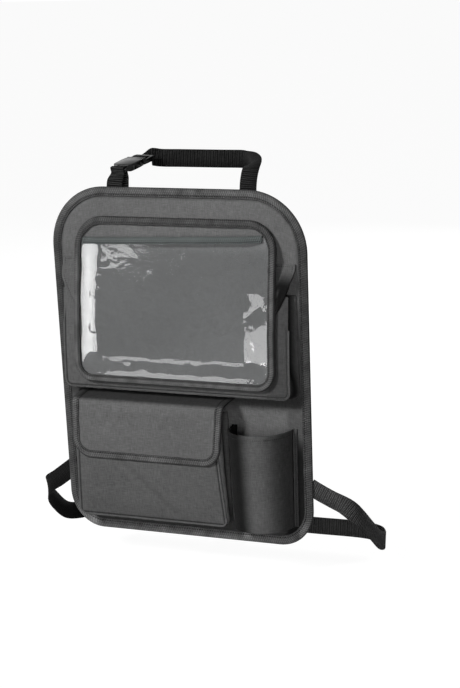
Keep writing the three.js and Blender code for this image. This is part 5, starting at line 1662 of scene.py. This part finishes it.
def long_top_route(place):
    across, upright = (1, 0, 0), (0, 0, 1)
    z = POST_STRAP_HEIGHT
    outside = POST_HALF_SPACING + 10
    behind = np.linspace(POST_HALF_SPACING, -POST_HALF_SPACING, 5)
    wide = place["wide"]
    return [
        ((TOP_STRAP_X, STRAP_REST, STRAP_END), across),
        ((TOP_STRAP_X, STRAP_REST, PANEL_TOP + 2), across),
        ((TOP_STRAP_X + 1, 3.5, PANEL_TOP + 17), across),
        ((TOP_STRAP_X + 1.5, 9.5, z - 2), across),
        ((TOP_STRAP_X - 1, 22, z + 2.5), (0.95, 0, 0.3)),
        ((TOP_STRAP_X - 12, 44, z + 2.5), (0.6, 0.2, 0.8)),
        ((outside + 11, 64, z + 1), (0.1, 0, 1)),
        ((outside, POST_STRAP_Y - 7.5, z), upright),
        *[((x, POST_STRAP_Y, z), upright) for x in behind],
        ((-outside, POST_STRAP_Y - 6, z + 2), (-0.3, 0, 0.9)),
        (on_buckle(place, CLIP_END + 7, -OVER_BAR - 0.3), wide + np.array([0, 0, 0.35])),
        *ladder_route(place, wide),
    ]


def short_top_route(place):
    across, wide = (-1, 0, 0), place["wide"]
    beside = BUCKLE_BAR + BESIDE_BAR
    wrap = [(-BESIDE_BAR - SEAM_GAP, -4), *bar_wrap(1), (beside + 0.1, -2.5), (beside, -4.5)]
    return [
        ((SHORT_STRAP_X, STRAP_REST, STRAP_END), across),
        ((SHORT_STRAP_X, STRAP_REST, PANEL_TOP + 1), across),
        ((SHORT_STRAP_X + 0.5, 3.2, PANEL_TOP + 9), across),
        *[(on_buckle(place, x, height), wide) for x, height in wrap],
        ((SHORT_STRAP_X + 4, 13.5, PANEL_TOP + 11), wide),
        ((SHORT_STRAP_X + 6, 8.4, PANEL_TOP + 4), (-1, 0.1, 0)),
        ((SHORT_STRAP_X + 7, 5.4, PANEL_TOP - 2), across),
        ((SHORT_STRAP_X + 7, 4.8, PANEL_TOP - 9), across),
    ]


def lower_route(side, drop):
    half = LOWER_LOOP_HALF_WIDTH
    edge = PANEL_WIDTH_BOTTOM / 2 - 4
    start, y, z = LOWER_STRAP_START, LOWER_LOOP_Y, LOWER_LOOP_Z
    return [
        ((side * edge, STRAP_REST, start), (side * 0.5, 0, 0.87)),
        ((side * (edge + 14), STRAP_REST + 0.8, start - 7.5 - drop * 0.4), (side * 0.5, 0, 0.87)),
        ((side * (edge + 30), 4.5, start - 16 - drop * 0.8), (side * 0.48, 0, 0.87)),
        ((side * (half - 18), 9.5, start - 26 - drop), (side * 0.42, 0.15, 0.87)),
        ((side * (half - 6), 27, start - 46 - drop * 0.5), (side * 0.15, 0.5, 0.8)),
        ((side * half, 52, start - 70), (0, 0.7, 0.7)),
        ((side * half, 82, z + 7), (0, 0.5, 0.85)),
        ((side * (half - 5), y - 32, z - 1), (0, 0.2, 0.97)),
        ((side * (half - 20), y - 9, z - 1), (0, 0, 1)),
        ((side * (half - 48), y, z), (0, 0, 1)),
    ]


def right_lower_route(place):
    upright = (0, 0, 1)
    return [
        *lower_route(1, 0),
        ((LOWER_LOOP_HALF_WIDTH / 2, LOWER_LOOP_Y, LOWER_LOOP_Z), upright),
        (on_buckle(place, CLIP_END + 16, -1.5), upright),
        *ladder_route(place, upright),
    ]


def left_lower_route(place):
    over = bar_wrap(1)[1:][::-1]
    loop = [
        (-70, 0), (-24, -0.2), (-8, -2.2), (-1, -OVER_BAR), *bar_wrap(-1)[2:], *over, (-1, OVER_BAR),
        (-8, 2.5), (-24, WEBBING_THICKNESS + SEAM_GAP), (-38, WEBBING_THICKNESS + SEAM_GAP),
    ]
    return [*lower_route(-1, 6), *[(on_buckle(place, x, height), (0, 0, 1)) for x, height in loop]]


def strap_line(route):
    """Points on the middle of a strap, and the directions along it, across it and out of it."""
    middle = smooth_line([place for place, width in route], BAND_STEPS)
    wide = smooth_line([width for place, width in route], BAND_STEPS, even=True)
    length = run_length(middle)
    even = np.linspace(0, length[-1], int(length[-1] / STATION_STEP))
    middle = np.stack([np.interp(even, length, middle[:, k]) for k in range(3)], axis=1)
    wide = np.stack([np.interp(even, length, wide[:, k]) for k in range(3)], axis=1)
    along = unit(np.gradient(middle, axis=0))
    across = unit(wide - along * (wide * along).sum(axis=1, keepdims=True))
    return middle, along, across, unit(np.cross(across, along))


def strap(name, route, node, ground):
    """Webbing with rounded, slightly thicker edges. Its ground takes painted shade between the ribs that lie
    on it, or painted light where that shade is negative.
    """
    middle, along, across, out = strap_line(route)
    side = np.array([-1, -0.985, -0.94, -0.86, -0.6, -0.3, 0, 0.3, 0.6, 0.86, 0.94, 0.985, 1])
    rise = np.array([0.35, 0.75, 0.95, 1.0, 0.86, 0.84, 0.84, 0.84, 0.86, 1.0, 0.95, 0.75, 0.35])
    flat = middle[:, None] + across[:, None] * (side * WEBBING_WIDTH / 2)[:, None]
    lift = out[:, None] * (rise * WEBBING_THICKNESS / 2)[:, None]
    loops = np.concatenate([flat + lift, (flat - lift)[:, ::-1]], axis=1)
    sweep(name, loops, False, WEBBING, node, ground)
    print(name, "is", round(float(run_length(middle)[-1])), "mm long")


# Each strap has a route, a solid that it stands for, and the painted shade of its ground and of its ribs. A
# negative shade is painted light, lighter than the webbing.
ROUTES = {
    "top_long_webbing": (long_top_route(top_buckle), "top_strap_long", 1.1, -1.2),
    "top_short_webbing": (short_top_route(top_buckle), "top_strap_short", 1.1, -2.4),
    "right_webbing": (right_lower_route(lower_buckle), "lower_strap_right", -0.5, -8.5),
    "left_webbing": (left_lower_route(lower_buckle), "lower_strap_left", 1.1, 0.4),
}
for name, (route, node, ground, _) in ROUTES.items():
    strap(name, route, node, ground)

# %% [markdown]
# ## Buckles
# The buckles are moulded, so no edge on them is sharp. A copy of each solid is merged into one skin
# and gets a fine bevel, which catches the light as the real mould's radius does.

# %% Buckles
BUCKLE_BEVEL = 0.0005
MERGE_DISTANCE = 0.00002
BEVEL_ABOVE = math.radians(35)
SHARP_ABOVE = math.radians(40)


def rounded_copy(name, node):
    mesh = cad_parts[node].data.copy()
    mesh.name = name
    piece = bpy.data.objects.new(name, mesh)
    bpy.context.scene.collection.objects.link(piece)
    weld = piece.modifiers.new("weld", "WELD")
    weld.merge_threshold = MERGE_DISTANCE
    bevel = piece.modifiers.new("bevel", "BEVEL")
    bevel.width = BUCKLE_BEVEL
    bevel.segments = 2
    bevel.limit_method = "ANGLE"
    bevel.angle_limit = BEVEL_ABOVE
    bevel.harden_normals = False
    evaluated = piece.evaluated_get(bpy.context.evaluated_depsgraph_get())
    piece.data = bpy.data.meshes.new_from_object(evaluated)
    piece.modifiers.clear()
    piece.data.name = name
    piece.data.materials.clear()
    piece.data.materials.append(PLASTIC)
    piece.data.polygons.foreach_set("use_smooth", np.ones(len(piece.data.polygons), bool))
    piece.data.set_sharp_from_angle(angle=SHARP_ABOVE)
    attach(piece, "root")
    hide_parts(node)
    return piece


BUCKLES = ("top_buckle_socket", "top_buckle_clip", "lower_buckle_socket", "lower_buckle_clip")
show_faces(*[rounded_copy(node + "_moulding", node) for node in BUCKLES])

# %% [markdown]
# ## Thread
# Every seam is one long row of small stitches, so a Geometry Nodes tree makes them: it walks along a
# line of points and sets a flattened bead of thread at even steps. Only the line differs from row to row.


# %% Stitch tree
def new_tree(name, numbers):
    """A tree that takes a mesh, some numbers and a material, and the node that gives them."""
    tree = bpy.data.node_groups.new(name, "GeometryNodeTree")
    face = tree.interface
    face.new_socket("Geometry", in_out="INPUT", socket_type="NodeSocketGeometry")
    for label in numbers:
        face.new_socket(label, in_out="INPUT", socket_type="NodeSocketFloat")
    face.new_socket("Thread", in_out="INPUT", socket_type="NodeSocketMaterial")
    face.new_socket("Geometry", in_out="OUTPUT", socket_type="NodeSocketGeometry")
    return tree, new_node(tree, "NodeGroupInput")


def wire_up(tree, wires):
    for source, target in wires:
        tree.links.new(source, target)


def set_on_points(tree, given, points, shape, turn, size):
    """Sets one shape on each point and ends the tree: real geometry, shaded smooth, with its material."""
    place = new_node(tree, "GeometryNodeInstanceOnPoints")
    real = new_node(tree, "GeometryNodeRealizeInstances")
    smooth = new_node(tree, "GeometryNodeSetShadeSmooth")
    paint = new_node(tree, "GeometryNodeSetMaterial")
    made = new_node(tree, "NodeGroupOutput")
    wire_up(tree, [
        (points, place.inputs["Points"]),
        (shape.outputs["Mesh"], place.inputs["Instance"]),
        (turn.outputs["Rotation"], place.inputs["Rotation"]),
        (size.outputs["Vector"], place.inputs["Scale"]),
        (place.outputs["Instances"], real.inputs["Geometry"]),
        (real.outputs["Geometry"], smooth.inputs["Geometry"]),
        (smooth.outputs["Geometry"], paint.inputs["Geometry"]),
        (given.outputs["Thread"], paint.inputs["Material"]),
        (paint.outputs["Geometry"], made.inputs["Geometry"]),
    ])


def stitch_tree():
    tree, given = new_tree("Stitch row", ("Pitch", "Length", "Thickness"))
    curve = new_node(tree, "GeometryNodeMeshToCurve")
    steps = new_node(tree, "GeometryNodeResampleCurve", mode="LENGTH")
    bead = new_node(tree, "GeometryNodeMeshUVSphere")
    bead.inputs["Segments"].default_value = 6
    bead.inputs["Rings"].default_value = 5
    bead.inputs["Radius"].default_value = 0.5
    size = new_node(tree, "ShaderNodeCombineXYZ")
    tangent = new_node(tree, "GeometryNodeInputTangent")
    turn = new_node(tree, "FunctionNodeAlignRotationToVector", axis="Z")
    wire_up(tree, [
        (given.outputs["Geometry"], curve.inputs["Mesh"]),
        (curve.outputs["Curve"], steps.inputs["Curve"]),
        (given.outputs["Pitch"], steps.inputs["Length"]),
        (given.outputs["Thickness"], size.inputs["X"]),
        (given.outputs["Thickness"], size.inputs["Y"]),
        (given.outputs["Length"], size.inputs["Z"]),
        (tangent.outputs["Tangent"], turn.inputs["Vector"]),
    ])
    set_on_points(tree, given, steps.outputs["Curve"], bead, turn, size)
    return tree


stitches = stitch_tree()
print(stitches.name, "has", len(stitches.nodes), "nodes")


def from_nodes(name, mesh, tree, values):
    """Runs a tree on a mesh and keeps what it makes as a plain mesh."""
    piece = bpy.data.objects.new(name, mesh)
    bpy.context.scene.collection.objects.link(piece)
    modifier = piece.modifiers.new(tree.name, "NODES")
    modifier.node_group = tree
    for item in tree.interface.items_tree:
        if item.in_out == "INPUT" and item.name in values:
            modifier[item.identifier] = values[item.name]
    evaluated = piece.evaluated_get(bpy.context.evaluated_depsgraph_get())
    piece.data = bpy.data.meshes.new_from_object(evaluated)
    piece.modifiers.clear()
    piece.data.name = name
    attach(piece, "root")
    show_faces(piece)
    return piece


def stitch_rows(name, rows, thread, pitch=4.0, length=2.6, thickness=1.15):
    """Rows of stitches. Each row is a line of points and whether it closes on itself."""
    points, edges = [], []
    for line, closed in rows:
        first = len(points)
        points += (np.asarray(line) * MM).tolist()
        edges += [(i, i + 1) for i in range(first, len(points) - 1)]
        if closed:
            edges.append((len(points) - 1, first))
    mesh = bpy.data.meshes.new(name)
    mesh.from_pydata(points, edges, [])
    values = {"Pitch": pitch * MM, "Length": length * MM, "Thickness": thickness * MM, "Thread": thread}
    return from_nodes(name, mesh, stitches, values)


# %% [markdown]
# Tapes are sewn near their inner edge, on the front and on the rear. The flap's sides, its seam, the
# sleeve's flanges and its rim have a row each, and every strap end is sewn on by a box with a cross.

# %% Stitch rows
STITCH_INSET = 0.8
BOX_STITCH_START = 3.0
BOX_STITCH_LENGTH = 9.5
BOX_STITCH_MARGIN = 3


def panel_stitch_row():
    line = outline(panel_shape, BINDING_WIDTH * STITCH_INSET)
    return [(panel_point(line, -PANEL_THICKNESS - 0.35), True), (panel_point(line, 0.15), True)]


def tablet_stitch_rows():
    line = outline(tablet_shape, TABLET_TAPE * STITCH_INSET)
    front = tablet_point(line[:, 0], line[:, 1], TABLET_FRONT + 0.3)
    rear = tablet_point(line[:, 0], line[:, 1], -0.1)
    return [(front, True), (rear, True)]


def window_stitch_row():
    x = np.linspace(window_tape_low[0] + 3, window_tape_high[0] - 3, 90)
    z = window_edge(x) - WINDOW_TAPE_HEIGHT * STITCH_INSET
    front = TABLET_FILM_REAR + FILM_THICKNESS + WINDOW_TAPE_EASE + WINDOW_TAPE_LEG
    return [(tablet_point(x, z, front + window_swell(x, z) + 0.1), False)]


def flap_stitch_rows():
    line = flap_path(FLAP_TAPE * STITCH_INSET)
    out = CLOTH / 2 + SEAM_GAP + BINDING_LEG + 0.25
    x = np.linspace(FLAP_LEFT_FOLD + 4, FLAP_RIGHT_FOLD - 4, 80)
    seam = flap_point(x, np.full(len(x), 3.0), CLOTH / 2 + 0.1)
    return [(flap_point(line[:, 0], -line[:, 1], out), False), (seam, False)]


def wide_lid_rows():
    z = np.linspace(flap_low[2] + 2, flap_high[2] - 3, 70)
    rows = []
    for side in (-1, 1):
        x = side * (wide_flap_half(z) - 3.8)
        rows.append((np.stack([x, wide_flap_y(z) - CLOTH / 2 - HEM_RISE - 0.05, z], axis=1), False))
    x = np.linspace(-WIDE_FLAP_HALF_TOP + 2, WIDE_FLAP_HALF_TOP - 2, 100)
    seam_z = np.full(len(x), flap_high[2] - 3.0)
    rows.append((np.stack([x, wide_flap_y(seam_z) - CLOTH / 2 - 0.1, seam_z], axis=1), False))
    return rows


def bottle_rows():
    levels = np.linspace(sleeve_low[2] + 2, sleeve_high[2] - 2, 60)
    rows = []
    for end, side in ((0, -1), (-1, 1)):
        x = [bottle_section(z, 0)[end][0] + side * BOTTLE_FLANGE * 0.55 for z in levels]
        y = np.full(len(levels), PANEL_FRONT - SEAM_GAP - CLOTH - 0.6)
        rows.append((np.stack([x, y, levels], axis=1), False))
    z = sleeve_high[2] - BOTTLE_HEM + 1.4
    rim = bottle_section(z, -(BOTTLE_HEM_THICKNESS / 2 + 0.45))[3:-3]
    rim = np.stack([rim[:, 0], rim[:, 1], np.full(len(rim), z)], axis=1)
    rows.append((rim, False))
    return rows


def strap_rows():
    """A box with a cross where each strap is sewn on."""
    rows = []
    for route, *_ in ROUTES.values():
        rows += box_stitch(*strap_line(route))
    return rows


def box_stitch(middle, along, across, out):
    centre, forward, wide, face = middle[2], along[2], across[2], out[2]
    if face[1] < 0:
        face = -face
    half = WEBBING_WIDTH / 2 - BOX_STITCH_MARGIN
    start, end = BOX_STITCH_START, BOX_STITCH_START + BOX_STITCH_LENGTH
    corners = [(start, -half), (start, half), (end, half), (end, -half)]
    lift = WEBBING_THICKNESS / 2 + 0.1
    points = [centre + forward * a + wide * b + face * lift for a, b in corners]
    t = np.linspace(0, 1, 6)[:-1, None]
    ring = np.concatenate([mix(p, q, t) for p, q in zip(points, points[1:] + points[:1])])
    cross = [np.linspace(points[0], points[2], 8), np.linspace(points[1], points[3], 8)]
    return [(ring, True), (cross[0], False), (cross[1], False)]


stitch_rows("panel_stitching", panel_stitch_row(), THREAD)
stitch_rows("tablet_stitching", tablet_stitch_rows(), THREAD)
stitch_rows("window_stitching", window_stitch_row(), THREAD, 3.4, 2.0, 1.0)
stitch_rows("box_lid_stitching", flap_stitch_rows(), THREAD)
stitch_rows("wide_lid_stitching", wide_lid_rows(), THREAD, 3.0, 2.2, 0.6)
stitch_rows("bottle_stitching", bottle_rows(), THREAD, 3.0, 2.2, 0.6)
stitch_rows("strap_stitching", strap_rows(), BLACK_THREAD, 2.6, 2.0, 0.6)

# %% [markdown]
# ## Ribs of the webbing
# Woven straps show a fine ladder of ribs across them. A second tree sets one rounded rib at each point
# of a line, turned by two directions that the points carry: along the strap and across it.


# %% Rib tree
def rib_tree():
    tree, given = new_tree("Strap ribs", ("Width", "Rib length", "Rib height"))
    rod = new_node(tree, "GeometryNodeMeshCylinder")
    rod.inputs["Vertices"].default_value = 8
    rod.inputs["Radius"].default_value = 0.5
    rod.inputs["Depth"].default_value = 1.0
    directions = []
    for name in ("across", "along"):
        source = new_node(tree, "GeometryNodeInputNamedAttribute", data_type="FLOAT_VECTOR")
        source.inputs["Name"].default_value = name
        directions.append(source.outputs["Attribute"])
    turn = new_node(tree, "FunctionNodeAxesToRotation", primary_axis="Z", secondary_axis="X")
    size = new_node(tree, "ShaderNodeCombineXYZ")
    wire_up(tree, [
        (directions[0], turn.inputs[0]),
        (directions[1], turn.inputs[1]),
        (given.outputs["Rib length"], size.inputs["X"]),
        (given.outputs["Rib height"], size.inputs["Y"]),
        (given.outputs["Width"], size.inputs["Z"]),
    ])
    set_on_points(tree, given, given.outputs["Geometry"], rod, turn, size)
    return tree


strap_ribs = rib_tree()
print(strap_ribs.name, "has", len(strap_ribs.nodes), "nodes")

# %% [markdown]
# The ribs stop a little short of the webbing's edges, which stay smooth, and rise a little over its face.

# %% Ribs on each strap
RIB_PITCH = 2.8
RIB_LENGTH = 1.5
RIB_RISE = 0.5
RIB_MARGIN = 1.6


def ribs_on(name, route, shade):
    middle, along, across, _ = strap_line(route)
    length = run_length(middle)
    places = np.arange(RIB_PITCH, length[-1] - RIB_PITCH / 2, RIB_PITCH)
    pick = np.searchsorted(length, places)
    mesh = bpy.data.meshes.new(name)
    mesh.from_pydata((middle[pick] * MM).tolist(), [], [])
    for label, directions in (("along", along), ("across", across)):
        attribute = mesh.attributes.new(label, "FLOAT_VECTOR", "POINT")
        attribute.data.foreach_set("vector", directions[pick].astype(np.float32).ravel())
    values = {
        "Width": (WEBBING_WIDTH - RIB_MARGIN) * MM,
        "Rib length": RIB_LENGTH * MM,
        "Rib height": (WEBBING_THICKNESS + RIB_RISE) * MM,
        "Thread": WEBBING,
    }
    piece = from_nodes(name, mesh, strap_ribs, values)
    set_shade(piece.data, np.full(len(piece.data.vertices), shade))


for name, (route, *_, shade) in ROUTES.items():
    ribs_on(name.replace("webbing", "ribs"), route, shade)

# %% [markdown]
# ## Cut sizes
# Each cloth piece is given the width and length of its cut. The real pattern isn't known, so the area of
# the cut is read from the piece's own surface, held within the limits that a sheet may have, and printed.
# It says how much cloth there is. It is no test of stretch, because it comes from the shape itself.

# %% Cut sizes
LEAST_AREA_SHARE = 0.3
MOST_AREA_SHARE = 1.0


def flat_size(piece):
    """Half of a thin closed piece's surface, in square metres."""
    return sum(face.area for face in piece.data.polygons) / 2


def cut(piece, width, length, held, rests_on):
    area = flat_size(piece)
    share = min(max(area / (width * length), LEAST_AREA_SHARE), MOST_AREA_SHARE)
    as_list(rests_on)
    size = f"{width / MM:.0f} by {length / MM:.0f} mm"
    declared = share * width * length
    print(f"{piece.name}: cut {size}, {area * 1e4:.0f} cm2 on its surface, {declared * 1e4:.0f} cm2 declared")


cut(wide_pieces[0], 0.346, 0.140, "stretched", ["back_panel"])
cut(wide_pieces[1], 0.62, 0.028, "folded", ["back_panel"])
cut(wide_lid, 0.358, 0.156, "hung", ["back_panel"])
cut(tablet_back, 0.306, 0.228, "stretched", [wide_lid])
cut(box_pieces[0], 0.232, 0.155, "stretched", ["back_panel"])
cut(box_pieces[1], 0.54, 0.038, "folded", ["back_panel"])
cut(flap, 0.235, 0.130, "hung", ["back_panel"])
cut(bottle_pieces[0], 0.172, 0.138, "stretched", ["back_panel"])

# %% [markdown]
# ## Sizes
# The dressed model has to fill the same box as the imported solids. Both boxes are measured, and the
# largest difference between them is printed.

# %% Sizes, and the end
low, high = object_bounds()
apart = max(max(abs(side) for side in low - cad_low), max(abs(side) for side in high - cad_high))
print("The dressed model's box is within", round(apart / MM, 2), "mm of the packed one")
